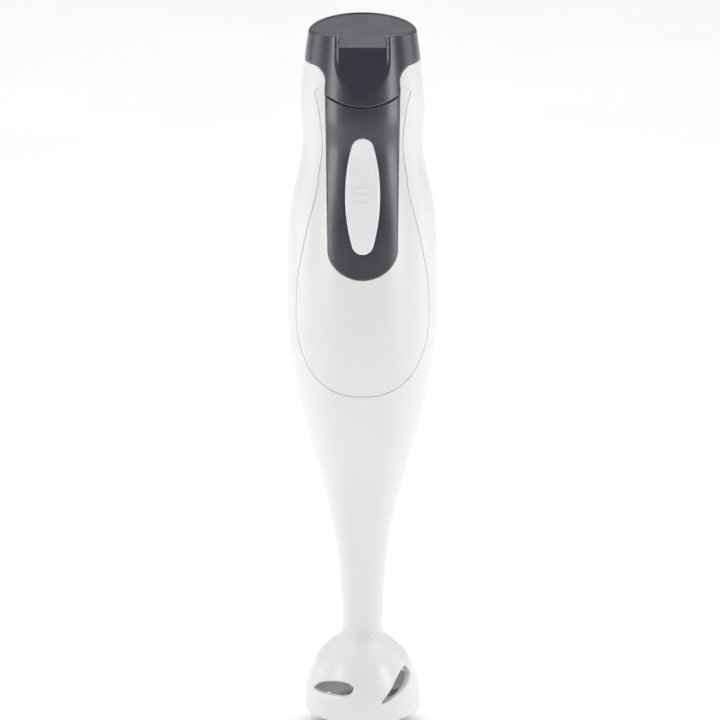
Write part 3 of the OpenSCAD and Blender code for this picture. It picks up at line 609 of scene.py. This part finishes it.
def make_finish(slot):
    if slot == "white_plastic":
        f = moulded(slot, (230, 229, 228), (233, 232, 231), (0.3, 0.36), wear=(222, 220, 217))
        return f.number(coat=0.15, coat_rough=0.15)
    if slot == "button_plastic":
        f = moulded(slot, (236, 236, 237), (239, 239, 240), (0.3, 0.38), grain=4200)
        return f.number(coat=0.12, coat_rough=0.2)
    if slot == "dark_grey_plastic":
        f = moulded(slot, (49, 47, 58), (54, 52, 63), (0.3, 0.37), grain=3600, grain_depth=5e-6,
                    wear=(80, 78, 87))
        return f.number(coat=0.7, coat_rough=0.22)
    if slot == "inner_plastic":
        return moulded(slot, (222, 217, 203), (230, 226, 214), (0.4, 0.55), grain=2500, grain_depth=8e-6)
    if slot == "black_plastic":
        return moulded(slot, (24, 24, 26), (34, 34, 36), (0.38, 0.55), grain=2600, grain_depth=9e-6)
    if slot == "phenolic":
        f = moulded(slot, (58, 34, 22), (84, 50, 31), (0.34, 0.5), grain=2400)
        fibre = f.between(f.noise(1400, 4, (1, 1, 0.2)), 0.4, 0.7)
        return f.colour(f.mix(fibre, linear(54, 31, 20), linear(98, 60, 38)))
    if slot == "amber_plastic":
        f = moulded(slot, (196, 142, 36), (214, 164, 58), (0.22, 0.32), grain=1500)
        return f.number(coat=0.4, coat_rough=0.1)
    if slot == "red_lead":
        return moulded(slot, (140, 24, 20), (168, 34, 28), (0.32, 0.46), grain=3000, flow=200)
    if slot == "blue_lead":
        return moulded(slot, (26, 48, 122), (36, 62, 150), (0.32, 0.46), grain=3000, flow=200)
    if slot == "black_rubber":
        f = moulded(slot, (22, 22, 23), (32, 31, 32), (0.6, 0.78), grain=1800, grain_depth=1.6e-5)
        return f.number(sheen=0.12)
    if slot == "bright_steel":
        return metal(slot, (178, 180, 184), (206, 208, 211), (0.16, 0.34))
    if slot == "zinc_steel":
        f = metal(slot, (150, 156, 166), (186, 190, 197), (0.24, 0.44), lines=500)
        return f.relief(f.noise(1900, 3), 3e-6)
    if slot == "bronze":
        f = metal(slot, (128, 88, 46), (168, 121, 68), (0.3, 0.46))
        return f.relief(f.between(f.noise(2600, 2), 0.55, 0.7), 8e-6)
    if slot == "brass":
        return metal(slot, (166, 128, 54), (204, 165, 84), (0.2, 0.36))
    if slot == "magnet":
        f = moulded(slot, (44, 44, 48), (60, 60, 64), (0.5, 0.7), grain=1500, grain_depth=1.4e-5)
        return f.number(metal=0.25)
    if slot == "iron_core":
        f = metal(slot, (78, 82, 90), (112, 116, 124), (0.34, 0.55))
        return f.relief(f.bands(320.0, 0.4), 2.4e-5)
    if slot == "copper":
        f = metal(slot, (120, 52, 24), (174, 88, 44), (0.2, 0.4))
        f.relief(f.bands(420.0, 1.6), 6e-5)
        return f.number(coat=0.6, coat_rough=0.15)
    if slot == "circuit_green":
        f = moulded(slot, (16, 66, 40), (22, 82, 50), (0.24, 0.36), grain=1500)
        cells = {"Vector": f.place, "Scale": 260.0}
        tracks = f.add("TexVoronoi", cells, distance="MANHATTAN", feature="F1")
        edge = f.between(tracks.outputs["Distance"], 0.32, 0.36)
        f.colour(f.mix(edge, linear(14, 58, 36), linear(34, 104, 62)))
        return f.relief(edge, 2.5e-5).number(coat=0.5, coat_rough=0.12)
    raise ValueError(slot)


FINISHES = {}


def finish_of(slot):
    if slot not in FINISHES:
        FINISHES[slot] = make_finish(slot).material
    return FINISHES[slot]


# ---- Main housing ------------------------------------------------------------------------------
SHIELD_TOP = Z_WIDE + SHIELD[-1][0] * HANDLE_H
ROUND = (-math.pi / 2 * R0, 3 * math.pi / 2 * R0)
LIP = 0.3
POST_R, PILOT_R, SCREW_R, HEAD_R, HEAD_SEAT, COVER_BOSS = 3.4, 1.1, 1.7, 3.1, 1.2, 3.6
SCREW_X, PILOT_DEEP, BOARD_FACE, TIGHT = 11.6, 9, 4.6, 0.05
BOARD_FIXINGS = (Z_BUTTON - 25.8, Z_BUTTON + 27.8)
VENT_PITCH, VENT_R, VENT_HALF, VENTS = 4.4, 0.9, 9.1, 6
BUSH_LOW, BUSH_HIGH, BUSH_R, BUSH_OUT = 101.3, 113.3, 4.4, 6.6
FUSE = 0.5


def body_skin(loops, lip, depth, **more):
    """A wall of the body with rounded outer edges."""
    def front(p, d):
        return on_body(p, round_lip(d, lip))

    return skin(loops, front, lambda p, d: inside_body(p, depth), lip=lip, **more)


def upright(u, z0, z1, lip=LIP):
    """One side of the join round the back, with points where the rounded ends start."""
    steps = insets_of(lip)
    return [(u, z0)] + [(u, z0 + s) for s in steps] + [(u, z1 - s) for s in reversed(steps)] + [(u, z1)]


def other_half(right):
    """The mirror image of the right half of an outline, in the other direction."""
    return right[::-1] * np.array([-1, 1])


def plain_joint(a, b):
    """True of a side on the shield's upper edge, whose joint is closed."""
    low, high = min(a[1], b[1]), max(a[1], b[1])
    return SHIELD_TOP - 0.3 < low and high < SHIELD_TOP + SHIELD_RISE + 0.05 and abs(a[0] + b[0]) > 38


def fixing_points():
    """(x, z, rear face of the cover's boss) of the three screws under the panel."""
    found = []
    for x, z in ((-SCREW_X, TONGUE_LOW - 7), (SCREW_X, TONGUE_LOW - 7), (0, Z_WIDE + 18.6)):
        found.append((x, z, -math.sqrt((body_r(z) - COVER_WALL) ** 2 - SCREW_X**2) + COVER_BOSS))
    return found


def main_housing():
    """The rear shell with its wings and the leg, with the bush's web and the motor's ledge inside."""
    top, low = CAP_LOW - SEAM, BELL_H + TIGHT
    shield = shield_right(0)
    right = unrolled(shield + [(PANEL_W / 2, shield[-1][1])] + tongue_right(0, top)[17:])
    loop = np.concatenate([upright(ROUND[1], low, top), right[::-1], other_half(right)[::-1][1:],
                           upright(ROUND[0], low, top)[::-1]])
    holes = []
    for i in range(VENTS):
        z = Z_WIDE + 2 + (i - (VENTS - 1) / 2) * VENT_PITCH
        slot = arc(VENT_HALF, z, VENT_R, -90, 90, 9) + arc(-VENT_HALF, z, VENT_R, 90, 270, 9)
        holes.append(unrolled(slot, back=True))
    shell = solid(*body_skin([loop] + holes, LIP, WALL, wrap=ROUND, step=3.2,
                             bare=lambda a, b: a[1] + b[1] < 2 * low + 0.1 or plain_joint(a, b)))
    middle = (BUSH_LOW + BUSH_HIGH) / 2
    web_r, under, over = float(body_r(middle)) - WALL + FUSE, middle - WALL / 2, middle + WALL / 2
    stop = BUSH_R - 1
    web = lathe([(stop, BUSH_LOW - 1.5), (BUSH_OUT, BUSH_LOW - 1.5, 0.3), (BUSH_OUT, under, 0.6),
                 (web_r, under), (web_r, over), (BUSH_OUT, over, 0.6), (BUSH_OUT, BUSH_HIGH, 0.3),
                 (BUSH_R, BUSH_HIGH), (BUSH_R, BUSH_LOW), (stop, BUSH_LOW)])
    z = Z_WIDE - 0.3 * LEG_H
    r, r_below = float(body_r(z)) - WALL, float(body_r(z - 5)) - WALL + FUSE
    ledge = lathe([(r - 3, z, 0.2), (r - 3, z - 1.5, 0.3), (r_below, z - 5), (r + FUSE, z)])
    add = [solid(*revolved(web)), solid(*revolved(ledge))]
    cut = []
    for x, z, face in fixing_points():
        add.append(rod_y(POST_R, x, z, face + TIGHT, math.sqrt((body_r(z) - WALL) ** 2 - x * x) + FUSE))
        cut.append(rod_y(PILOT_R, x, z, face - 1, face + PILOT_DEEP, n=24))
    for z in BOARD_FIXINGS:
        add.append(rod_y(POST_R, 0, z, BOARD_FACE + TIGHT, body_r(z) - WALL + FUSE))
        cut.append(rod_y(PILOT_R, 0, z, BOARD_FACE - 1, BOARD_FACE + PILOT_DEEP, n=24))
    return finished(combined(shell, add, cut), "housing_shell", "root", "white_plastic", ["main_housing"])


def offset_line(loop, by):
    """The anticlockwise outline moved inwards by that much, or outwards if it is negative."""
    turn = np.roll(loop, -1, axis=0) - np.roll(loop, 1, axis=0)
    size = np.maximum(np.linalg.norm(turn, axis=1), 1e-9)[:, None]
    return loop + by * (np.stack([-turn[:, 1], turn[:, 0]], 1) / size)


def front_cover():
    """The white shield, with a pocket that the panel lies in."""
    outer = shield_right(SHIELD_GAP)
    across = PANEL_W / 2 + SEAM
    dip = [(x, joint_z(x) - SEAM) for x in np.linspace(across, 0, 20)]
    right = unrolled(outer + [(across, outer[-1][1])] + dip)
    loop = np.concatenate([right, other_half(right)[1:-1]])
    hole = unrolled(button_outline(BUTTON_GAP))
    edge = unrolled(mirrored(panel_right(0)))
    sides = list(zip(edge, np.roll(edge, -1, axis=0)))

    def depth(p, d):
        to_edge = distance(p, sides)
        in_pocket = is_inside(p, [edge]) & (to_edge > wall_slope / 2)
        return np.where(in_pocket, PANEL_T + TIGHT, round_lip(np.minimum(d, to_edge), LIP))

    wall_slope = 0.07
    lines = [edge, unrolled(mirrored(panel_right(wall_slope)))]
    lines += [offset_line(edge, -s) for s in insets_of(LIP)[:4]]
    shell = skin([loop, hole], lambda p, d: on_body(p, depth(p, d)),
                 lambda p, d: inside_body(p, COVER_WALL),
                 lip=LIP, step=2.6, along=0.8, lines=lines, bare=plain_joint)
    add, cut = [], []
    for x, z, face in fixing_points():
        add.append(rod_y(POST_R, x, z, -math.sqrt((body_r(z) - COVER_WALL) ** 2 - x * x) - 1, face))
        cut += [rod_y(SCREW_R, x, z, -60, face + 1, n=32), rod_y(HEAD_R, x, z, -60, face - HEAD_SEAT, n=40)]
    o = combined(solid(*shell), add, cut)
    return finished(o, "front_shield", "root", "white_plastic", ["front_cover"])


def control_panel():
    loops = [unrolled(mirrored(panel_right(SEAM))), unrolled(button_outline(BUTTON_GAP))]
    o = solid(*body_skin(loops, 0.35, PANEL_T, step=2.2, along=0.8, corner=0.5))
    return finished(o, "panel_plate", "root", "dark_grey_plastic", ["control_panel"])


# ---- Cap ---------------------------------------------------------------------------------------
LEDGE_Z, NOTCH, RECESS_LOW, DISH_R = TOTAL_H - 5.75, 10.7, TOTAL_H - 27.5, RIM_R - 1.9
RECESS_FLOOR = [(0, 0), (2, 0.2), (5, 1), (8.5, 2.1), (12.5, 3.2), (17, 3.9), (30, 4.1)]
RECESS_HALF = [(0, 6.5), (3, 9.2), (6, 11), (11, 12.6), (14, 12.9), (30, 12.9)]
INLET_Z, INLET_R, INLET_FACE = TOTAL_H - 8.6, 3.6, float(body_r(CAP_LOW)) + 0.4
CAP_LIP = 0.5


def recess_y(z):
    return -body_r(z) + smooth(RECESS_FLOOR, np.clip(z - RECESS_LOW, 0, 30))


def dish_z(y):
    """The cap's top, which rises towards the rear."""
    return LEDGE_Z + (y + RIM_R) * math.tan(math.radians(8.2))


def rim_z(y):
    """The upper edge of the cap's outside: a rim in front that runs out into the top at the sides."""
    front, top = TOTAL_H - 1.8 - y * math.tan(math.radians(4.6)), dish_z(y)
    return 0.5 * (front + top + np.sqrt((front - top) ** 2 + 0.15))


def cap_front(p, d):
    """The cap's outside: the body's surface with the thumb's hollow pressed into it."""
    lip = round_lip(d, CAP_LIP)
    v = on_body(p, lip)
    v[:, 2] = np.where(p[:, 1] > TOTAL_H - 6, p[:, 1], v[:, 2])
    width = smooth(RECESS_HALF, np.clip(v[:, 2] - RECESS_LOW, 0, 30))
    side = np.clip((width - np.abs(v[:, 0])) / 2.1, 0, 1)
    side = side * side * (3 - 2 * side) * (v[:, 1] < 0)
    floor, soft = recess_y(v[:, 2]) + lip, 0.2
    blend = soft * np.log1p(np.exp(np.clip((floor - v[:, 1]) / soft, -40, 40))) + v[:, 1]
    v[:, 1] += side * (blend - v[:, 1])
    return v


DISH_T = 2.6


def cap_back(p, d):
    v = cap_front(p, np.full(len(p), 9.0))
    phi, z = p[:, 0] / R0, p[:, 1]
    lower = z < dish_z(-DISH_R * np.cos(phi)) - 1.3
    r = np.where(lower, body_r(z) - WALL, DISH_R + np.where(z > CAP_LOW + 4, round_lip(d, 0.4), 0))
    r = np.minimum(r, np.hypot(v[:, 0], v[:, 1]) - 2.2)
    turn = np.clip((np.abs(v[:, 0]) - 12) / 8, 0, 1) ** (v[:, 1] < 0)
    x = np.where(lower, r * np.sin(phi), v[:, 0] + turn * (r * np.sin(phi) - v[:, 0]))
    return np.stack([x, -np.sqrt(np.maximum(r * r - x * x, 0)) * np.sign(np.cos(phi)), z], 1)


def over_rim(start, end, n):
    """The rim's line in (u, z) from one angle round the body to another."""
    return [(phi * R0, float(rim_z(-RIM_R * math.cos(phi)))) for phi in np.linspace(start, end, n)]


def top_cap():
    """The dark collar and its tongue, with the slanting dish that closes the top."""
    tongue = unrolled(tongue_right(SEAM, CAP_LOW))
    ledge = float(dish_z(recess_y(LEDGE_Z) + 0.3))
    corner = math.asin(NOTCH / RIM_R)
    rim = over_rim(3 * math.pi / 2, corner, 120)
    notch = np.array([rim[-1], (corner * R0, ledge), (0, ledge)])
    rim, other_rim = np.array(rim), np.array(over_rim(corner, math.pi / 2, 40)) * np.array([-1, 1])
    sides = [upright(u, CAP_LOW, rim[0][1], CAP_LIP) for u in ROUND]
    loop = np.concatenate([other_half(tongue)[:-1], tongue, sides[1][:-1], rim[:-1], notch,
                           other_half(notch)[1:-1], other_rim, sides[0][::-1][1:]])
    shell = solid(*skin([loop], cap_front, cap_back, lip=CAP_LIP, step=1.7, along=0.7, wrap=ROUND,
                        corner=0.8, fine=[(-16, 16, RECESS_LOW - 3, TOTAL_H, 0.7)]))
    plan, rings, n = [], (1.0, 0.985, 0.9, 0.7, 0.4), 120
    for share in rings:
        for a in np.linspace(0, 2 * math.pi, n, endpoint=False):
            r = RIM_R - 0.45 - 1.2 * max(math.cos(a), 0) ** 0.3
            x, y = share * r * math.sin(a), -share * r * math.cos(a)
            y = max(y, share * (float(recess_y(LEDGE_Z)) + 0.45))
            plan.append((x, y, dish_z(y)))
    verts = plan + [(0, 0, dish_z(0))] + [(x, y, dish_z(y) - DISH_T) for x, y, _ in plan[:n]]
    m = len(rings) * n
    polys = [(i + k * n, (i + 1) % n + k * n, (i + 1) % n + (k + 1) * n, i + (k + 1) * n)
             for k in range(len(rings) - 1) for i in range(n)]
    polys += [(m - n + i, m - n + (i + 1) % n, m) for i in range(n)]
    polys += [tuple(range(m + n, m, -1))]
    polys += [(i, m + 1 + i, m + 1 + (i + 1) % n, (i + 1) % n) for i in range(n)]
    add = [solid(verts, polys), rod_y(INLET_R + 2.4, 0, INLET_Z, 20.4, INLET_FACE, 0.35)]
    cut = [rod_y(INLET_R + 1.6, 0, INLET_Z, 12.4, 40)]
    o = combined(shell, add, cut)
    return finished(o, "cap_shell", "root", "dark_grey_plastic", ["top_cap"])


def inlet_grommet():
    bore, sleeve, flange = INLET_R, INLET_R + 1.55, INLET_R + 2.3
    inner, face = 19.4, INLET_FACE + TIGHT
    outer = face + 1.15
    profile = lathe([(bore, inner, 0.3), (sleeve, inner, 0.4), (sleeve, face), (flange, face, 0.1),
                     (flange, outer, 0.6), (bore, outer, 0.5)])
    verts, polys = revolved(profile, 64)
    o = solid(turned_y(verts) + np.array([0, 0, INLET_Z]), polys)
    return finished(o, "cord_grommet", "root", "black_rubber", ["inlet_grommet"])


# ---- Button ------------------------------------------------------------------------------------
BUTTON_BACK, PROUD = -20.0, 0.6


def pressed_from(depth, lip):
    """The button's outside in x and z, that depth below the body's surface."""
    def front(p, d):
        y = -np.sqrt((body_r(p[:, 1]) - depth) ** 2 - p[:, 0] ** 2) + round_lip(d, lip)
        return np.stack([p[:, 0], y, p[:, 1]], 1)

    return front


def flat_at(y, lip=0.0):
    return lambda p, d: np.stack([p[:, 0], y + round_lip(d, lip), p[:, 1]], 1)


def power_button():
    """The push key with three raised bars, its flange and the post that pushes the switch."""
    outer, back = float(body_r(Z_BUTTON)), BUTTON_BACK
    face = solid(*skin([button_outline(0)], pressed_from(-PROUD, 0.85), flat_at(back),
                       lip=0.85, step=1.5, along=0.7))
    flange = solid(*skin([button_outline(1.5)], flat_at(back, 0.25), flat_at(back + 1.6),
                         lip=0.25, step=3))
    hollow = solid(*skin([button_outline(-2)], pressed_from(2, 0.5), flat_at(back + 2.6),
                         lip=0.5, step=2))
    shell = combined(face, [flange], [hollow])
    seat_back = -(outer - COVER_WALL) + 1.9
    add = [rod_y(5.2, 0, Z_BUTTON, -outer + 1.2, seat_back, 0.3),
           rod_y(2.6, 0, Z_BUTTON, seat_back - 1, -11.45, 0.4)]
    r, half = 0.55, 3.6
    for i in (-1, 0, 1):
        z = Z_BUTTON + 3.4 * i
        turn = np.linspace(0.12, math.pi / 2, 6)
        straight = np.linspace(-half + r, half - r, 12)[1:-1]
        x = np.concatenate([-half + r - r * np.cos(turn), straight, half - r + r * np.cos(turn[::-1])])
        y = -np.sqrt((float(body_r(z)) + PROUD) ** 2 - x**2)
        past = np.maximum(np.abs(x) - half + r, 0)
        width = np.sqrt(np.maximum(r * r - past**2, 1e-3))
        add.append(solid(*swept(np.stack([x, y, np.full(len(x), z)], 1), width, 16)))
    o = combined(shell, add)
    return finished(o, "button_cap", "button", "button_plastic", ["power_button"])


def coil(radius, wire, turns, length, steps=28):
    """A spring along +Z from the origin, whose end turns lie flat."""
    t = np.linspace(0, 1, int(turns * steps) + 1)
    flat = 0.9 / turns
    rise = np.clip((t - flat) / (1 - 2 * flat), 0, 1)
    ends = np.clip(t / flat, 0, 1) + np.clip((t - 1 + flat) / flat, 0, 1)
    z = wire + 0.9 * wire * ends + rise * (length - 3.8 * wire)
    a = 2 * math.pi * turns * t
    return swept(np.stack([radius * np.cos(a), radius * np.sin(a), z], 1), wire, 10)


def return_spring():
    low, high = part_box("button_return_spring")
    front, back = low.y * 1000, high.y * 1000
    verts, polys = coil(4.2, 0.4, 7, back - front)
    wire = solid(turned_y(verts) + np.array([0, front, Z_BUTTON]), polys)
    o = finished(wire, "return_coil", "root", "bright_steel", ["button_return_spring"])
    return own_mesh(o)


# ---- Blade guard and blade -----------------------------------------------------------------------
LEVEL_SLOT = [(-11.3, 23), (-7.5, 26.3), (-1, 28.3), (5, 28.9), (9.6, 28), (11.2, 25.6), (8.9, 22.7),
              (1.6, 22.3), (-7.8, 22)]
SLANT_SLOT = [(-11.3, 19.6), (-6.5, 24.2), (-1.6, 28.9), (3, 31.8), (7, 33), (9, 31.2), (8.9, 28.3),
              (2.9, 24.3), (-4.5, 21.2), (-9.8, 18.9)]
SLOT_AZIMUTHS = (-36, 45)
FOOT_HALF, FOOT_H = 37, 9.5


def closed_curve(points, n):
    """A smooth loop through the points, with n steps between each two."""
    p, out = np.array(points, float), []
    for i in range(len(p)):
        a, b, c, d = (p[(i + k) % len(p)] for k in (-1, 0, 1, 2))
        turn, twist = 2 * a - 5 * b + 4 * c - d, 3 * b - a - 3 * c + d
        for t in np.arange(n) / n:
            out.append(b + t * (c - a) / 2 + t * t * turn / 2 + t**3 * twist / 2)
    return np.array(out)


def bell_guard():
    """The guard on its two feet with four slots, the bearing seat inside and the collar at the neck."""
    r0, lip = 27.5, 0.75

    def u(degrees):
        return math.radians(degrees) * r0

    wrap = (u(-90), u(270))
    left = [(wrap[0], FOOT_H)] + [(wrap[0], FOOT_H + s) for s in insets_of(lip)] + [(wrap[0], BELL_H)]
    loop = [(wrap[0], FOOT_H)]
    for foot in (0, 180):
        start, end = u(foot - FOOT_HALF), u(foot + FOOT_HALF)
        loop += [(start, FOOT_H), (start, 0), (end, 0), (end, FOOT_H)]
    loop += [(wrap[1], z) for _, z in left] + left[::-1][:-1]
    holes = []
    for half_turn in (0, 180):
        for azimuth, shape in zip(SLOT_AZIMUTHS, (LEVEL_SLOT, SLANT_SLOT)):
            hole = unrolled(closed_curve(shape, 6), bell_r, r0)
            holes.append(hole + np.array([u(azimuth + half_turn), 0]))

    def front(p, d):
        return on_body(p, round_lip(d, lip), bell_r, r0)

    def back(p, d):
        r = bell_in(p[:, 1]) + round_lip(d, 0.5)
        return np.stack([r * np.sin(p[:, 0] / r0), -r * np.cos(p[:, 0] / r0), p[:, 1]], 1)

    shell = solid(*skin([loop] + holes, front, back, lip=lip, step=2.0, along=0.7, wrap=wrap, corner=1.6,
                        bare=lambda a, b: a[1] + b[1] > 2 * BELL_H - 0.1))
    core = lathe([(5.8, 29.5, 0.2), (8.2, 29.5, 0.5), (8.2, 42.9, 0.8), (11.4, 42.9), (11.4, 44),
                  (9, 46), (6.95, 46.5), (6.8, 46.5), (6.8, 56, 0.4), (4.4, 56, 0.2), (4.4, 36.3),
                  (3.5, 36.3), (3.5, 36.15), (5.8, 36.15)])
    fillet = [(11.5, 44.6), (11.3, 44.95), (10.7, 45.55), (10.18, 46.2), (9.84, 46.8), (9.63, 47.4),
              (9.5, 48.1)]
    collar = [(float(body_r(z)) + 0.03, z) for z in (48.12, 47.4, 46.6)] + [(9.35, 46), (9.35, 44.6)]
    o = combined(shell, [solid(*revolved(core)), solid(*revolved(fillet + collar))])
    return finished(o, "guard_bell", "root", "white_plastic", ["bell_guard"])


def blade():
    """Two ground arms, one bent up and one bent down, round the hub's hole."""
    z0, thick, bend_from, ground_from = 14.2, 1.2, 6.5, 8.5
    arm = [(-0.8, -5), (7, -5.4), (13.3, -2.2), (14, 1.4), (8.4, 3.4), (-0.8, 4.6)]
    tip = [(bend_from + x, y) for x, y in arm]
    start, end = math.degrees(math.atan2(4.6, 5.7)), 180 - math.degrees(math.atan2(5, 5.7))
    side = arc(0, 0, 7, start + 6, end - 6, 9)
    half = tip + side
    loop = half + [(-x, -y) for x, y in half]
    hole = arc(0, 0, 2.5, 0, 350, 36)

    def face(above):
        def at(p, d):
            x, y = p[:, 0], p[:, 1]
            out = np.maximum(np.abs(x) - bend_from, 0)
            angle = np.where(x > 0, math.radians(14), -math.radians(10))
            ground = np.clip(1 - d / 2.6, 0, 1) * np.clip((np.abs(x) - ground_from) / 1.5, 0, 1)
            level = thick - ground * 0.95 if above else np.zeros(len(x))
            lean = np.where(out > 0, angle, 0)
            px = np.minimum(np.abs(x), bend_from) + np.cos(angle) * out - np.sin(lean) * level
            pz = z0 + np.sin(angle) * out + level * np.cos(lean)
            return np.stack([np.sign(x) * px, y, pz], 1)

        return at

    o = solid(*skin([loop, hole], face(True), face(False), lip=0.1, step=1.2, along=0.6, corner=1.2))
    return finished(o, "blade_steel", "rotor", "bright_steel", ["blade"], sharp=28)


def dressed(node):
    """A CAD node with its own finish, whose sharp edges are softened by modifiers."""
    o = frame["nodes"][node]
    slots = {s["node"]: s["material_slot"] for s in frame["record"]["subparts"]}
    o.data.materials.clear()
    o.data.materials.append(finish_of(slots[node]))
    o.data.polygons.foreach_set("use_smooth", [True] * len(o.data.polygons))
    weld = o.modifiers.new("weld", "WELD")
    weld.merge_threshold = 2e-6
    low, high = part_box(node)
    bevel = o.modifiers.new("edges", "BEVEL")
    bevel.width = min(0.00025, 0.05 * min(high - low))
    bevel.segments = 2
    bevel.limit_method = "ANGLE"
    bevel.angle_limit = math.radians(40)
    bevel.harden_normals = True
    return o


# ---- The object ----------------------------------------------------------------------------------
main_housing()
front_cover()
control_panel()
top_cap()
inlet_grommet()
power_button()
return_spring()
bell_guard()
blade()
for name, node in frame["nodes"].items():
    if not node.hide_render:
        dressed(name)

# ---- Floor, light and camera ---------------------------------------------------------------------
scene = bpy.context.scene
AROUND = 64
verts, polys = [(0, 0, 0)], []
for ring, radius in enumerate((0.4, 1, 2, 4)):
    for k in range(AROUND):
        turn = 2 * math.pi * k / AROUND
        verts.append((radius * math.cos(turn), radius * math.sin(turn), 0))
        a, b = 1 + ring * AROUND + k, 1 + ring * AROUND + (k + 1) % AROUND
        polys.append((0, a, b) if ring == 0 else (a - AROUND, a, b, b - AROUND))
floor = bpy.data.objects.new("floor", raw_mesh(verts, polys))
scene.collection.objects.link(floor)
pale = Finish("floor_pale")
drift = pale.between(pale.noise(6, 3), 0.3, 0.7)
pale.colour(pale.mix(drift, linear(245, 245, 245), linear(248, 248, 248))).rough(0.7)
floor.data.materials.append(pale.material)

world = bpy.data.worlds.new("studio")
world.use_nodes = True
world.node_tree.nodes["Background"].inputs["Color"].default_value = (1, 1, 1, 1)
world.node_tree.nodes["Background"].inputs["Strength"].default_value = 0.14
scene.world = world


def softbox(name, at, target, size, power):
    light = bpy.data.lights.new(name, "AREA")
    light.shape, light.size, light.size_y, light.energy = "RECTANGLE", size[0], size[1], power
    o = bpy.data.objects.new(name, light)
    o.location = at
    o.rotation_euler = (Vector(target) - Vector(at)).to_track_quat("-Z", "Y").to_euler()
    scene.collection.objects.link(o)
    return o


for side, way in (("left", -1), ("right", 1)):
    softbox(side + "_key", (0.84 * way, -0.54, 0.35), (0, 0, 0.2), (0.3, 1.2), 5.4)
    softbox(side + "_edge", (0.97 * way, 0.26, 0.35), (0, 0, 0.2), (0.5, 1.2), 2.3)
softbox("front_box", (0, -1.3, 2.5), (0, 0, 0.1), (1.2, 1), 5)
softbox("top_box", (0, 1.3, 2.4), (0, 1.3, 0), (3, 3), 78)

camera = bpy.data.objects.new("camera", bpy.data.cameras.new("camera"))
scene.collection.objects.link(camera)
FOCAL_PIXELS, WIDTH_PIXELS, SENSOR = 5395, 720, 36
down, far, aim = math.radians(15.5), 2.536, Vector((-0.0012, 0, 0.18084))
camera.location = aim + far * Vector((0, -math.cos(down), math.sin(down)))
camera.rotation_euler = (math.pi / 2 - down, 0, 0)
camera.data.sensor_width = SENSOR
camera.data.lens = FOCAL_PIXELS / WIDTH_PIXELS * SENSOR
camera.data.clip_end = 50
scene.camera = camera
scene.view_settings.view_transform = "Standard"
